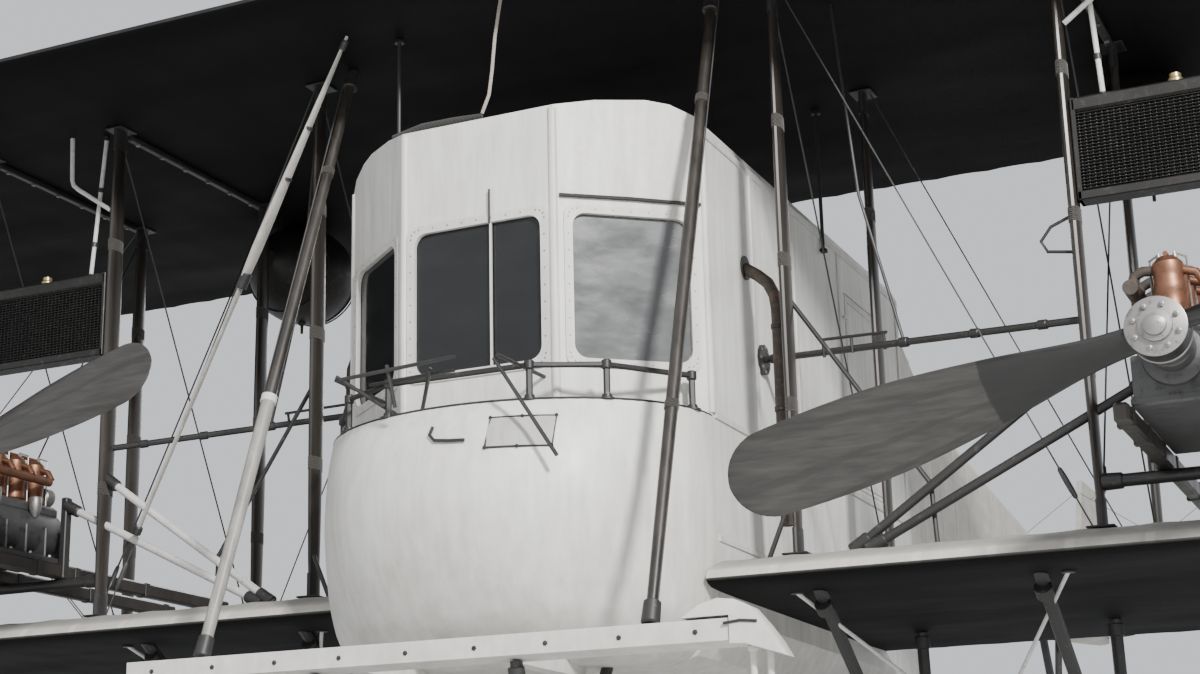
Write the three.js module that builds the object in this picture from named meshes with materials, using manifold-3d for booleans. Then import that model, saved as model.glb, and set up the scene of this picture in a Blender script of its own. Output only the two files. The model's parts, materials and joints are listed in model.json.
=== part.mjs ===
// Giant biplane of about 1914 with a deep nose, a bow tub and four engines on its lower wing.
// Millimetres, Z up, nose toward -Y, port side toward +X, ground at Z = 0.
import * as THREE from 'three';
import Module from 'manifold-3d';
import { mergeVertices } from 'three/addons/utils/BufferGeometryUtils.js';

const wasm = await Module();
wasm.setup();

const GAP = 0.3;
const CLEAR = 8;
const SIDES = { port: 1, starboard: -1 };

// Main sizes
const HULL_HALF = 1120;
const NOSE_HALF = 470;
const QUARTER_Y = 550;
const HULL_BOTTOM = 1550;
const RIM_Z = 2870;
const SHOULDER_Z = 4500;
const ROOF_Z = 4700;
const WALL = 50;
const BULKHEAD_Y = 4300;
const HULL_FRONT_Y = QUARTER_Y;
const FLOOR_Z = 2500;
const PLATE = 40;
const UPPER_Z = 5350;
const LOWER_Z = 1930;
const UPPER_CHORD = 4700;
const LOWER_CHORD = 3200;
const UPPER_LE = -400;
const LOWER_LE = 360;
const UPPER_HALF = 17000;
const LOWER_HALF = 13300;
const UPPER_THICK = 1.3;
const CENTRE_HALF = 1700;
const BEYOND = 20000;
const HUB = { x: 3610, y: -620, z: 2700 };
const PROP_RADIUS = 2020;

// Wing section: share of the chord, height above the flat underside
const SECTION = [
  [0.0, 45], [0.02, 12], [0.06, 0], [0.98, 0], [1.0, 14], [0.86, 66],
  [0.70, 128], [0.63, 128], [0.45, 168], [0.30, 184], [0.18, 186], [0.10, 186], [0.04, 128],
];
const FRONT_SPAR = 0.125;
const REAR_SPAR = 0.665;
const FRONT_FLAT = 186;
const REAR_FLAT = 128;
const frontY = LOWER_LE + FRONT_SPAR * LOWER_CHORD;
const rearY = LOWER_LE + REAR_SPAR * LOWER_CHORD;
const frontFoot = LOWER_Z + FRONT_FLAT + GAP;
const rearFoot = LOWER_Z + REAR_FLAT + GAP;
const strutTop = UPPER_Z - GAP;

// The origin is under the middle of the whole length, from nose wheels to elevator edge
const LENGTH_MIDDLE = 8560;
const group = new THREE.Group();
group.name = 'biplane';
group.position.y = -LENGTH_MIDDLE;

function toSolid(geometry) {
  const bare = geometry.clone();
  bare.deleteAttribute('normal');
  bare.deleteAttribute('uv');
  const merged = mergeVertices(bare, 1e-4);
  return new wasm.Manifold(new wasm.Mesh({
    numProp: 3,
    vertProperties: new Float32Array(merged.attributes.position.array),
    triVerts: new Uint32Array(merged.index.array),
  }));
}

function toGeometry(solid) {
  const mesh = solid.getMesh();
  const geometry = new THREE.BufferGeometry();
  geometry.setAttribute('position', new THREE.BufferAttribute(new Float32Array(mesh.vertProperties), 3));
  geometry.setIndex(new THREE.BufferAttribute(new Uint32Array(mesh.triVerts), 1));
  geometry.computeVertexNormals();
  return geometry;
}

function piece(name, solid, colour) {
  const material = new THREE.MeshStandardMaterial({ color: colour, roughness: 0.7 });
  const mesh = new THREE.Mesh(toGeometry(solid), material);
  mesh.name = name;
  group.add(mesh);
}

// A closed solid through rings of points, all with the same count
function loft(rings) {
  const count = rings[0].length;
  const points = rings.flat();
  const faces = [];
  for (let r = 0; r < rings.length - 1; r += 1) {
    for (let i = 0; i < count; i += 1) {
      const a = r * count + i;
      const b = r * count + (i + 1) % count;
      faces.push(a, b, b + count, a, b + count, a + count);
    }
  }
  const first = rings[0].map((p) => new THREE.Vector3(...p));
  const flat = flatten(first);
  const clockwise = THREE.ShapeUtils.area(flat) < 0;
  const caps = THREE.ShapeUtils.triangulateShape(clockwise ? flat.slice().reverse() : flat, []);
  const last = (rings.length - 1) * count;
  for (const triangle of caps) {
    const [a, b, c] = triangle.map((i) => (clockwise ? count - 1 - i : i));
    faces.push(a, c, b, last + a, last + b, last + c);
  }
  const geometry = new THREE.BufferGeometry();
  geometry.setAttribute('position', new THREE.Float32BufferAttribute(points.flat(), 3));
  geometry.setIndex(capSide(faces, count, caps.length));
  const solid = toSolid(geometry);
  return solid.volume() < 0 ? toSolid(flipped(geometry)) : solid;
}

function flatten(points) {
  const normal = new THREE.Vector3();
  points.forEach((p, i) => {
    const q = points[(i + 1) % points.length];
    normal.add(new THREE.Vector3().crossVectors(p, q));
  });
  const size = [Math.abs(normal.x), Math.abs(normal.y), Math.abs(normal.z)];
  const drop = size.indexOf(Math.max(...size));
  return points.map((p) => {
    const v = p.toArray().filter((value, axis) => axis !== drop);
    return new THREE.Vector2(...v);
  });
}

// Cap triangles must run against the side walls along every rim edge
function capSide(faces, count, capCount) {
  const side = faces.slice(0, faces.length - capCount * 6);
  const caps = faces.slice(faces.length - capCount * 6);
  const rim = new Set();
  for (let i = 0; i < count; i += 1) {
    rim.add(`${i}>${(i + 1) % count}`);
  }
  let wrong = false;
  for (let i = 0; i < caps.length; i += 6) {
    const t = [caps[i], caps[i + 1], caps[i + 2]];
    for (let k = 0; k < 3; k += 1) {
      wrong = wrong || rim.has(`${t[k]}>${t[(k + 1) % 3]}`);
    }
  }
  if (!wrong) {
    return side.concat(caps);
  }
  const turned = [];
  for (let i = 0; i < caps.length; i += 3) {
    turned.push(caps[i], caps[i + 2], caps[i + 1]);
  }
  return side.concat(turned);
}

function flipped(geometry) {
  const index = geometry.index.array;
  const turned = [];
  for (let i = 0; i < index.length; i += 3) {
    turned.push(index[i], index[i + 2], index[i + 1]);
  }
  const copy = geometry.clone();
  copy.setIndex(turned);
  return copy;
}

function box(x0, x1, y0, y1, z0, z1) {
  const geometry = new THREE.BoxGeometry(x1 - x0, y1 - y0, z1 - z0);
  geometry.translate((x0 + x1) / 2, (y0 + y1) / 2, (z0 + z1) / 2);
  return toSolid(geometry);
}

function rod(from, to, radius, sides = 6, endRadius = radius) {
  const a = new THREE.Vector3(...from);
  const b = new THREE.Vector3(...to);
  const along = b.clone().sub(a);
  const geometry = new THREE.CylinderGeometry(endRadius, radius, along.length(), sides, 1);
  geometry.applyQuaternion(new THREE.Quaternion().setFromUnitVectors(
    new THREE.Vector3(0, 1, 0), along.clone().normalize()));
  geometry.translate(...a.add(b).multiplyScalar(0.5).toArray());
  return toSolid(geometry);
}

// A faired strut with level ends
function strut(from, to, halfWidth, halfChord) {
  const outline = [[0, -1], [1, -0.5], [1, 0.3], [0, 1], [-1, 0.3], [-1, -0.5]];
  const ring = (p) => outline.map(([u, v]) => [p[0] + u * halfWidth, p[1] + v * halfChord, p[2]]);
  return loft([ring(from), ring(to)]);
}

function join(solids) {
  return solids.reduce((sum, next) => sum.add(next));
}

// Ring of a wing section at one place along the span
function wingRing(x, leading, chord, base, thickness = 1) {
  return SECTION.map(([share, height]) => [x, leading + share * chord, base + height * thickness]);
}

// A hinged surface: round nose about its axis, tapering to the trailing edge
function flap(radius, chord, edge, span) {
  const ring = (w) => {
    const points = [];
    for (let i = 0; i <= 6; i += 1) {
      const turn = Math.PI / 2 + (Math.PI * i) / 6;
      points.push([w, radius * Math.cos(turn), radius * Math.sin(turn)]);
    }
    points.push([w, chord, -edge], [w, chord, edge]);
    return points;
  };
  return loft([ring(-span / 2), ring(span / 2)]);
}

// Hinges whose fixed part lies ahead: plates on the fixed piece around pins in notches of the moving one
const HINGE = { pin: 8, play: 0.7, plate: 6, eye: 18, side: 7, behind: 25, nose: 42 };
function hingePair(fixed, moving, axis, at, places, reach) {
  const span = (place, half, y0, y1, across) => (axis === 'x'
    ? box(place - half, place + half, y0, y1, at.z - across, at.z + across)
    : box(at.x - across, at.x + across, y0, y1, place - half, place + half));
  const pin = (place, half, radius) => (axis === 'x'
    ? rod([place - half, at.y, at.z], [place + half, at.y, at.z], radius, 12)
    : rod([at.x, at.y, place - half], [at.x, at.y, place + half], radius, 12));
  let held = fixed;
  let hung = moving;
  for (const place of places) {
    const notch = HINGE.plate + HINGE.side;
    const plate = span(place, HINGE.plate, at.y - reach, at.y, HINGE.eye)
      .add(pin(place, HINGE.plate, HINGE.eye))
      .subtract(pin(place, HINGE.plate + 2, HINGE.pin + HINGE.play));
    held = held.add(plate);
    hung = hung.subtract(span(place, notch, at.y - HINGE.nose, at.y + HINGE.behind, HINGE.nose + 8))
      .add(pin(place, notch + 12, HINGE.pin));
  }
  return [held, hung];
}

// The cabin: three flat facets at the front of its plan, a roof arched across and dropped toward the nose
const SIDE_ARCH = [[HULL_HALF, SHOULDER_Z], [1085, 4580], [980, 4635], [700, 4675], [250, ROOF_Z]];
const NOSE_ARCH = [[0, 4580], [150, 4625], [500, 4670], [1000, ROOF_Z]];
function mirrored(half) {
  return half.concat(half.slice().reverse().map(([x, z]) => [-x, z]));
}
function cabinSolid(inset, bottom, back) {
  const corner = inset * 0.6;
  const wide = HULL_HALF - inset;
  const half = [[NOSE_HALF - corner, inset], [wide, QUARTER_Y + corner], [wide, back]];
  const plan = half.concat(half.slice().reverse().map(([x, y]) => [-x, y]));
  const prism = loft([bottom, ROOF_Z + 50].map((z) => plan.map(([x, y]) => [x, y, z])));
  const across = mirrored([[HULL_HALF - inset, bottom]]
    .concat(SIDE_ARCH.map(([x, z]) => [x - inset, z - inset])));
  const along = [[-100, bottom], [back + 50, bottom], [back + 50, ROOF_Z - inset]]
    .concat(NOSE_ARCH.slice().reverse().map(([y, z]) => [y, z - inset]), [[-100, NOSE_ARCH[0][1] - inset]]);
  return prism
    .intersect(loft([-100, back + 100].map((y) => across.map(([x, z]) => [x, y, z]))))
    .intersect(loft([-2000, 2000].map((x) => along.map(([y, z]) => [x, y, z]))));
}

// Cabin with its three front panes and its door
const PANE = { z0: 3140, z1: 3975, glass: 12, depth: 20 };
const DOOR = { y0: 3050, y1: 3750, z0: 2930, z1: 4230 };
let cabin = cabinSolid(0, RIM_Z + GAP, BULKHEAD_Y)
  .subtract(cabinSolid(WALL, RIM_Z - 50, BULKHEAD_Y + 50));
function facetSlab(from, to, outer, inner, z0, z1) {
  const along = to.clone().sub(from).normalize();
  const inward = new THREE.Vector2(-along.y, along.x);
  const corner = (p, depth) => [p.x + inward.x * depth, p.y + inward.y * depth];
  const plan = [corner(from, outer), corner(to, outer), corner(to, inner), corner(from, inner)];
  return loft([z0, z1].map((z) => plan.map(([x, y]) => [x, y, z])));
}
const QUARTER = [[HULL_HALF, QUARTER_Y], [NOSE_HALF, 0]];
const FRONT = [[-NOSE_HALF, 0], [NOSE_HALF, 0]];
const PORT_LINE = QUARTER.slice().reverse();
const STARBOARD_LINE = QUARTER.map(([x, y]) => [-x, y]);
const FACETS = [
  { name: 'windscreen_pane', line: FRONT, from: 0.075, to: 0.925, colour: 0x50585a },
  { name: 'quarter_pane_port', line: PORT_LINE, from: 0.1, to: 0.9, colour: 0x9aa0a0 },
  { name: 'quarter_pane_starboard', line: STARBOARD_LINE, from: 0.1, to: 0.9, colour: 0x50585a },
];
for (const { name, line, from, to, colour } of FACETS) {
  const ends = line.map((p) => new THREE.Vector2(...p));
  const at = (share, move) => ends[0].clone().lerp(ends[1], share)
    .add(ends[1].clone().sub(ends[0]).setLength(move));
  cabin = cabin.subtract(facetSlab(at(from, 0), at(to, 0), -60, 130, PANE.z0, PANE.z1));
  piece(name, facetSlab(at(from, GAP), at(to, -GAP), PANE.depth, PANE.depth + PANE.glass,
    PANE.z0 + GAP, PANE.z1 - GAP), colour);
}
const doorWall = [HULL_HALF - WALL - 30, HULL_HALF + 30];
const [cabinShell, cabinDoor] = hingePair(
  cabin.subtract(box(...doorWall, DOOR.y0, DOOR.y1, DOOR.z0, DOOR.z1)),
  box(HULL_HALF - 38, HULL_HALF - 2, DOOR.y0 + CLEAR, DOOR.y1 - CLEAR, DOOR.z0 + CLEAR, DOOR.z1 - CLEAR),
  'z', { x: HULL_HALF - 2, y: DOOR.y0 + CLEAR }, [DOOR.z0 + 180, DOOR.z1 - 180], 60);
piece('cabin_shell', cabinShell, 0xe9e6dc);
piece('cabin_door', cabinDoor, 0xdedace);

// Hull below the cabin, solid up to the floor and a shell above it
function hullSolid(inset, y0, y1, top) {
  const w = HULL_HALF - inset;
  const low = HULL_BOTTOM + inset;
  const outline = [[w, top], [w, low + 260], [w - 130, low + 60], [w - 320, low]];
  const ring = outline.concat(outline.slice().reverse().map(([x, z]) => [-x, z]));
  return loft([y0, y1].map((y) => ring.map(([x, z]) => [x, y, z])));
}
const hull = hullSolid(0, HULL_FRONT_Y + GAP, BULKHEAD_Y, RIM_Z)
  .subtract(hullSolid(WALL, HULL_FRONT_Y - 50, BULKHEAD_Y + 50, RIM_Z + 50)
    .intersect(box(-2000, 2000, 0, 9000, FLOOR_Z - GAP, 9000)));
piece('lower_hull', hull, 0xe6e2d7);

// Bow tub: a boat-shaped shell open toward the hull, bulging ahead of the windscreen
const BOW_BACK = HULL_FRONT_Y;
const BOW_LEVELS = [
  { z: HULL_BOTTOM, half: 800, front: 60 },
  { z: HULL_BOTTOM + 60, half: 960, front: -90 },
  { z: HULL_BOTTOM + 260, half: 1090, front: -300 },
  { z: 2300, half: HULL_HALF, front: -490 },
  { z: 2660, half: HULL_HALF, front: -440 },
  { z: RIM_Z, half: HULL_HALF, front: -320 },
];
const BOW_STEPS = 16;
function bowPlan(level, inset, back) {
  const plan = [];
  for (let i = 0; i <= BOW_STEPS; i += 1) {
    const turn = (Math.PI * i) / BOW_STEPS;
    const across = Math.cos(turn);
    const ahead = Math.sin(turn) * (BOW_BACK - level.front - inset);
    plan.push([across * (level.half - inset), Math.min(BOW_BACK - ahead, back)]);
  }
  plan[0][1] = back;
  plan[BOW_STEPS][1] = back;
  return plan;
}
function bowSolid(inset, lift, back) {
  return loft(BOW_LEVELS.map((level) => bowPlan(level, inset, back)
    .map(([x, y]) => [x, y, level.z + (level.z < RIM_Z ? inset : lift)])));
}
const bow = bowSolid(0, 0, BOW_BACK).subtract(bowSolid(WALL, 60, BOW_BACK + 60));
piece('bow_tub', bow, 0xece9df);

// Floor and bulkhead
const inner = HULL_HALF - WALL - GAP;
const floor = box(-inner, inner, HULL_FRONT_Y + 40, BULKHEAD_Y - GAP, FLOOR_Z, FLOOR_Z + PLATE);
piece('cabin_floor', floor, 0xa88a60);
const bulkheadRing = mirrored([[HULL_HALF, HULL_BOTTOM + 260]].concat(SIDE_ARCH))
  .concat([[-800, HULL_BOTTOM], [800, HULL_BOTTOM]]);
piece('cabin_bulkhead', loft([BULKHEAD_Y + GAP, BULKHEAD_Y + PLATE]
  .map((y) => bulkheadRing.map(([x, z]) => [x, y, z]))), 0xb79a70);

// Heating pipes from the cabin side out and down beside the inner struts
const PIPE = {
  radius: 48,
  path: [[1000, 1240, 3960], [1330, 1010, 3700], [1370, 960, 3560], [1370, 960, 2320]],
};
for (const [sideName, side] of Object.entries(SIDES)) {
  const runs = PIPE.path.slice(1).map((to, i) => {
    const [a, b] = [PIPE.path[i], to].map(([x, y, z]) => [side * x, y, z]);
    return rod(a, b, PIPE.radius, 10);
  });
  const inward = [0, side * (HULL_HALF + GAP)].sort((a, b) => a - b);
  const inside = box(inward[0], inward[1], 0, 3000, 2000, 5000);
  piece(`exhaust_pipe_${sideName}`, join(runs).subtract(inside), 0x3a3733);
}

// Fuselage behind the bulkhead
const TAIL_STATIONS = [
  { y: BULKHEAD_Y + PLATE + GAP, half: HULL_HALF, low: HULL_BOTTOM, high: ROOF_Z },
  { y: 5400, half: 930, low: 2150, high: 4570 },
  { y: 6600, half: 730, low: 2600, high: 4390 },
  { y: 9800, half: 500, low: 2960, high: 4220 },
  { y: 13600, half: 290, low: 3240, high: 3990 },
  { y: 15100, half: 210, low: 3330, high: 3900 },
  { y: 17050, half: 100, low: 3480, high: 3900 },
];
function bodyRing({ y, half, low, high }, forward = 0) {
  const h = high - low;
  const right = [
    [0.28, 0], [0.89, 0.02], [1, 0.08], [1, 0.85], [0.94, 0.905], [0.78, 0.954], [0.52, 0.985], [0.22, 1],
  ].map(([u, v]) => [u * half, low + v * h]);
  return right.concat(right.slice().reverse().map(([x, z]) => [-x, z])).map(([x, z]) => [x, y + forward, z]);
}
piece('mid_fuselage', loft(TAIL_STATIONS.slice(0, 3).map((s) => bodyRing(s))), 0xd9d3c0);
piece('rear_fuselage', loft(TAIL_STATIONS.slice(2).map((s, i) => bodyRing(s, i === 0 ? GAP : 0))), 0xd3ccb7);

// Bow deck between the rim and the foot of the windscreen, and a tube rail on posts along the rim
const DECK = { z0: RIM_Z - 60, z1: RIM_Z - 30 };
const deck = bowSolid(WALL + GAP, 60, BOW_BACK + 60)
  .intersect(box(-2000, 2000, -2000, BOW_BACK - GAP, DECK.z0, DECK.z1))
  .subtract(cabinSolid(WALL, DECK.z0 - 50, BULKHEAD_Y + 50));
piece('bow_deck', deck, 0xcfc9b8);
const RAIL_Z = RIM_Z + 190;
const RAIL_POSTS = [1, 4, 6, 10, 12, 15];
const RAIL_RADIUS = 16;
const rimLine = bowPlan(BOW_LEVELS[BOW_LEVELS.length - 1], WALL / 2, BOW_BACK);
const railParts = [];
RAIL_POSTS.forEach((index, i) => {
  const [x, y] = rimLine[index];
  railParts.push(rod([x, y, RIM_Z + GAP], [x, y, RAIL_Z + RAIL_RADIUS], RAIL_RADIUS + 2));
  if (i > 0) {
    railParts.push(rod([...rimLine[RAIL_POSTS[i - 1]], RAIL_Z], [x, y, RAIL_Z], RAIL_RADIUS));
  }
});
piece('bow_rail', join(railParts), 0x2c2a27);

// Wings
const AILERON = { x0: 12100, x1: 16300, hinge: 3850, radius: 38, chord: 845, hinges: [12400, 14200, 16000] };
piece('upper_wing_centre', loft([-CENTRE_HALF + GAP, CENTRE_HALF - GAP]
  .map((x) => wingRing(x, UPPER_LE, UPPER_CHORD, UPPER_Z, UPPER_THICK))), 0x3a3834);
for (const [sideName, side] of Object.entries(SIDES)) {
  const upper = loft([
    wingRing(side * CENTRE_HALF, UPPER_LE, UPPER_CHORD, UPPER_Z, UPPER_THICK),
    wingRing(side * (UPPER_HALF - 700), UPPER_LE, UPPER_CHORD, UPPER_Z, UPPER_THICK),
    wingRing(side * (UPPER_HALF - 200), UPPER_LE + 160, UPPER_CHORD - 240, UPPER_Z, UPPER_THICK * 0.8),
    wingRing(side * UPPER_HALF, UPPER_LE + 560, UPPER_CHORD - 900, UPPER_Z, UPPER_THICK * 0.4),
  ]);
  const cut = [side * (AILERON.x0 - CLEAR), side * (AILERON.x1 + CLEAR)].sort((a, b) => a - b);
  const hingeY = UPPER_LE + AILERON.hinge;
  const notchY = hingeY - AILERON.radius - CLEAR;
  const notch = box(cut[0], cut[1], notchY, UPPER_CHORD + 500, UPPER_Z - 50, UPPER_Z + 300);
  const [wing, aileron] = hingePair(
    upper.subtract(notch),
    flap(AILERON.radius, AILERON.chord, 7, AILERON.x1 - AILERON.x0)
      .translate([side * (AILERON.x0 + AILERON.x1) / 2, hingeY, UPPER_Z + 42]),
    'x', { y: hingeY, z: UPPER_Z + 42 }, AILERON.hinges.map((x) => side * x), 80);
  piece(`upper_wing_${sideName}`, wing, 0x3a3834);
  piece(`aileron_${sideName}`, aileron, 0x46433d);
  piece(`lower_wing_${sideName}`, loft([
    wingRing(side * (HULL_HALF + GAP), LOWER_LE, LOWER_CHORD, LOWER_Z),
    wingRing(side * (LOWER_HALF - 600), LOWER_LE, LOWER_CHORD, LOWER_Z),
    wingRing(side * (LOWER_HALF - 160), LOWER_LE + 140, LOWER_CHORD - 220, LOWER_Z, 0.8),
    wingRing(side * LOWER_HALF, LOWER_LE + 500, LOWER_CHORD - 820, LOWER_Z, 0.4),
  ]), 0xded9ca);
}

// Interplane strut bays: front and rear strut with crossed stays
const STRUT_BAYS = [
  { name: 'inner', x: 1495, half: 32, stays: 1, lean: 0 },
  { name: 'outer', x: 11900, half: 30, stays: 2, lean: 2500 },
];
const STRUT_CHORD = 75;
const STAY = { radius: 9, rise: 190 };
const LEAN_RISE = 20;
function strutBay(x, half, stays, lean = 0) {
  const low = STAY.rise;
  const lines = [
    rod([x, rearY, rearFoot + low], [x, frontY, strutTop - low], STAY.radius, 5),
    rod([x, frontY, frontFoot + low], [x, rearY, strutTop - low], STAY.radius, 5),
  ];
  const feet = [[frontY, frontFoot], [rearY, rearFoot]];
  const struts = feet.map(([y, foot]) => strut([x, y, foot], [x, y, strutTop], half, STRUT_CHORD));
  const leaning = lean === 0 ? [] : feet.map(([y, foot]) => (
    strut([x, y, foot + LEAN_RISE], [x + lean, y, strutTop], half, STRUT_CHORD)));
  return join([...struts, ...leaning, ...lines.slice(0, stays)]);
}
for (const [sideName, side] of Object.entries(SIDES)) {
  for (const bay of STRUT_BAYS) {
    const struts = strutBay(side * bay.x, bay.half, bay.stays, side * bay.lean);
    piece(`${bay.name}_struts_${sideName}`, struts, 0x4a3b2c);
  }
}

// Engine bays: two strut pairs with the bearers, the side tubes and the radiator between them
const ENGINE_BAYS = [
  { name: 'inner', x: HUB.x },
  { name: 'outer', x: 8000 },
];
const BAY = {
  half: 555, strut: 34, tieZ: 2350, tieRadius: 34, foot: 2010, footZ: LOWER_Z + 60, tube: 30, brace: 3000,
};
const BEARER = { out: 230, half: 35, y0: -400, y1: rearY + 100, z0: 2380, z1: 2470 };
const POST = { in: 230, out: 275, y0: frontY - 30, y1: frontY + 30, top: 2900, joint: 2850 };
const RADIATOR = { y0: 700, y1: 820, z0: 3800, z1: 4360 };
const ENGINE = { half: 215, y0: -330, y1: 900, z1: 3180, nose: 95, neck: 105, lap: 20 };
const PROP_SHAFT = { radius: 45, length: 110, play: 1 };
const NOSE_Y = HUB.y + 40;
function between(a, b) {
  return [Math.min(a, b), Math.max(a, b)];
}
const underWing = box(-BEYOND, BEYOND, -BEYOND, BEYOND, 0, frontFoot);
function engineBay(x) {
  const parts = [
    strutBay(x - BAY.half, BAY.strut, 2),
    strutBay(x + BAY.half, BAY.strut, 2),
    box(x - BAY.half, x + BAY.half, RADIATOR.y0, RADIATOR.y1, RADIATOR.z0, RADIATOR.z1),
  ];
  for (const y of [frontY, rearY]) {
    parts.push(rod([x - BAY.half, y, BAY.tieZ], [x + BAY.half, y, BAY.tieZ], BAY.tieRadius, 8));
  }
  for (const way of [-1, 1]) {
    const bearer = x + way * BEARER.out;
    parts.push(box(bearer - BEARER.half, bearer + BEARER.half, BEARER.y0, BEARER.y1, BEARER.z0, BEARER.z1));
    const post = between(x + way * POST.in, x + way * POST.out);
    parts.push(box(post[0], post[1], POST.y0, POST.y1, BEARER.z0, POST.top));
    const foot = [x + way * BAY.foot, frontY, BAY.footZ];
    const ends = [[(post[0] + post[1]) / 2, frontY, POST.joint], [x + way * BAY.half, frontY, BAY.brace]];
    for (const end of ends) {
      parts.push(rod(foot, end, BAY.tube, 8).subtract(underWing));
    }
  }
  return join(parts);
}
function engine(x) {
  const base = BEARER.z1 + GAP;
  return box(x - ENGINE.half, x + ENGINE.half, ENGINE.y0, ENGINE.y1, base, ENGINE.z1)
    .add(rod([x, ENGINE.y0 + ENGINE.lap, HUB.z], [x, NOSE_Y, HUB.z], ENGINE.neck, 12, ENGINE.nose))
    .add(rod([x, NOSE_Y + ENGINE.lap, HUB.z], [x, NOSE_Y - PROP_SHAFT.length, HUB.z], PROP_SHAFT.radius, 16));
}
for (const [sideName, side] of Object.entries(SIDES)) {
  for (const bay of ENGINE_BAYS) {
    piece(`${bay.name}_engine_bay_${sideName}`, engineBay(side * bay.x), 0x3f3a34);
    piece(`${bay.name}_engine_${sideName}`, engine(side * bay.x), 0x5a5854);
  }
}

// Control tubes from the cabin side out to the first strut of the inner engine bay
const CONTROL = { hull: [HULL_HALF - 200, 1435, 3390], out: [600, 3140], radius: 20, flange: 90, plate: 25 };
for (const [sideName, side] of Object.entries(SIDES)) {
  const start = new THREE.Vector3(side * CONTROL.hull[0], CONTROL.hull[1], CONTROL.hull[2]);
  const end = new THREE.Vector3(side * HUB.x, ...CONTROL.out);
  const wall = start.clone().lerp(end, (HULL_HALF - CONTROL.hull[0]) / (HUB.x - CONTROL.hull[0]));
  const [near, far] = [GAP, CONTROL.plate].map((out) => [side * (HULL_HALF + out), wall.y, wall.z]);
  const flange = rod(near, far, CONTROL.flange, 12);
  const run = between(side * (HULL_HALF + GAP), side * (HUB.x - BAY.half - BAY.strut - GAP));
  const tube = rod(start.toArray(), end.toArray(), CONTROL.radius, 10)
    .intersect(box(run[0], run[1], -BEYOND, BEYOND, 0, BEYOND))
    .add(flange);
  piece(`control_tube_${sideName}`, tube, 0x35332f);
}

// Propellers: two blades and a boss, turned to the pose in the photo
const BLADE = [
  { r: 60, chord: 130, thick: 90, pitch: 50 },
  { r: 300, chord: 170, thick: 70, pitch: 46 },
  { r: 700, chord: 300, thick: 48, pitch: 36 },
  { r: 1150, chord: 400, thick: 36, pitch: 26 },
  { r: 1500, chord: 420, thick: 28, pitch: 20 },
  { r: 1820, chord: 400, thick: 20, pitch: 16 },
  { r: 1960, chord: 290, thick: 14, pitch: 14 },
  { r: PROP_RADIUS, chord: 110, thick: 10, pitch: 14 },
];
const BOSS = { back: 70, front: -80, nose: -130, radius: 135, cap: 80 };
const PROP_ANGLE = { inner_port: 194, inner_starboard: 16, outer_port: 150, outer_starboard: 40 };
function blade() {
  return loft(BLADE.map(({ r, chord, thick, pitch }) => {
    const turn = THREE.MathUtils.degToRad(pitch);
    const outline = [[-0.5, 0], [-0.25, -0.5], [0.2, -0.5], [0.5, 0], [0.2, 0.3], [-0.25, 0.3]];
    return outline.map(([u, v]) => {
      const a = u * chord;
      const b = v * thick;
      return [r, a * Math.sin(turn) + b * Math.cos(turn), a * Math.cos(turn) - b * Math.sin(turn)];
    });
  }));
}
for (const [sideName, side] of Object.entries(SIDES)) {
  for (const bay of ENGINE_BAYS) {
    const boss = rod([0, BOSS.back, 0], [0, BOSS.front, 0], BOSS.radius, 16)
      .add(rod([0, BOSS.front + 5, 0], [0, BOSS.nose, 0], BOSS.cap, 12));
    const bore = rod([0, BOSS.back + 5, 0], [0, BOSS.back - PROP_SHAFT.length, 0],
      PROP_SHAFT.radius + PROP_SHAFT.play, 24);
    const screw = join([boss, blade(), blade().rotate([0, 180, 0])])
      .subtract(bore)
      .rotate([0, -PROP_ANGLE[`${bay.name}_${sideName}`], 0])
      .translate([side * bay.x, NOSE_Y - CLEAR - BOSS.back, HUB.z]);
    piece(`${bay.name}_propeller_${sideName}`, screw, 0x8a7a66);
  }
}

// Nose gear: the white cross beam ahead of the bow, its legs, and twin wheels
const BEAM = { y: -720, half: 1660, z0: 1480, z1: 1610 };
const NOSE_WHEEL = { radius: 420, y: -420, spread: 230 };
const POLE = { foot: 1250, top: 1180, topY: 677, radius: 34 };
const BRACKET = { x: 420, half: 45, back: 300, z0: 1500, z1: 1590 };
let beam = loft([-BEAM.half, BEAM.half].map((x) => [
  [x, BEAM.y - 60, BEAM.z0 + 20], [x, BEAM.y + 60, BEAM.z0], [x, BEAM.y + 80, BEAM.z1 - 20],
  [x, BEAM.y + 50, BEAM.z1], [x, BEAM.y - 60, BEAM.z1 - 10],
]));
for (const side of Object.values(SIDES)) {
  const x = side * BRACKET.x;
  beam = beam.add(box(x - BRACKET.half, x + BRACKET.half, BEAM.y, BRACKET.back, BRACKET.z0, BRACKET.z1)
    .subtract(bowSolid(-GAP, 60, BOW_BACK)));
}
piece('nose_beam', beam, 0xf0ede4);
const noseLegs = [];
for (const side of Object.values(SIDES)) {
  piece(`nose_pole_${side > 0 ? 'port' : 'starboard'}`,
    rod([side * POLE.foot, BEAM.y, BEAM.z1 - 60], [side * POLE.top, POLE.topY, UPPER_Z + 100], POLE.radius, 8)
      .subtract(box(-3000, 3000, -3000, 3000, UPPER_Z - GAP, UPPER_Z + 900))
      .subtract(box(-3000, 3000, -3000, 3000, 500, BEAM.z1 + GAP)), 0x3b342c);
  const axleX = side * 560;
  noseLegs.push(rod([axleX, BEAM.y, BEAM.z0 + 60], [axleX, NOSE_WHEEL.y, NOSE_WHEEL.radius], 32, 8));
  noseLegs.push(rod([axleX, 400, HULL_BOTTOM + 60], [axleX, NOSE_WHEEL.y, NOSE_WHEEL.radius], 32, 8));
}
const AXLE = 34;
let noseFrame = join(noseLegs.concat([
  rod([-600, NOSE_WHEEL.y, NOSE_WHEEL.radius], [600, NOSE_WHEEL.y, NOSE_WHEEL.radius], AXLE, 12),
]));
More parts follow.
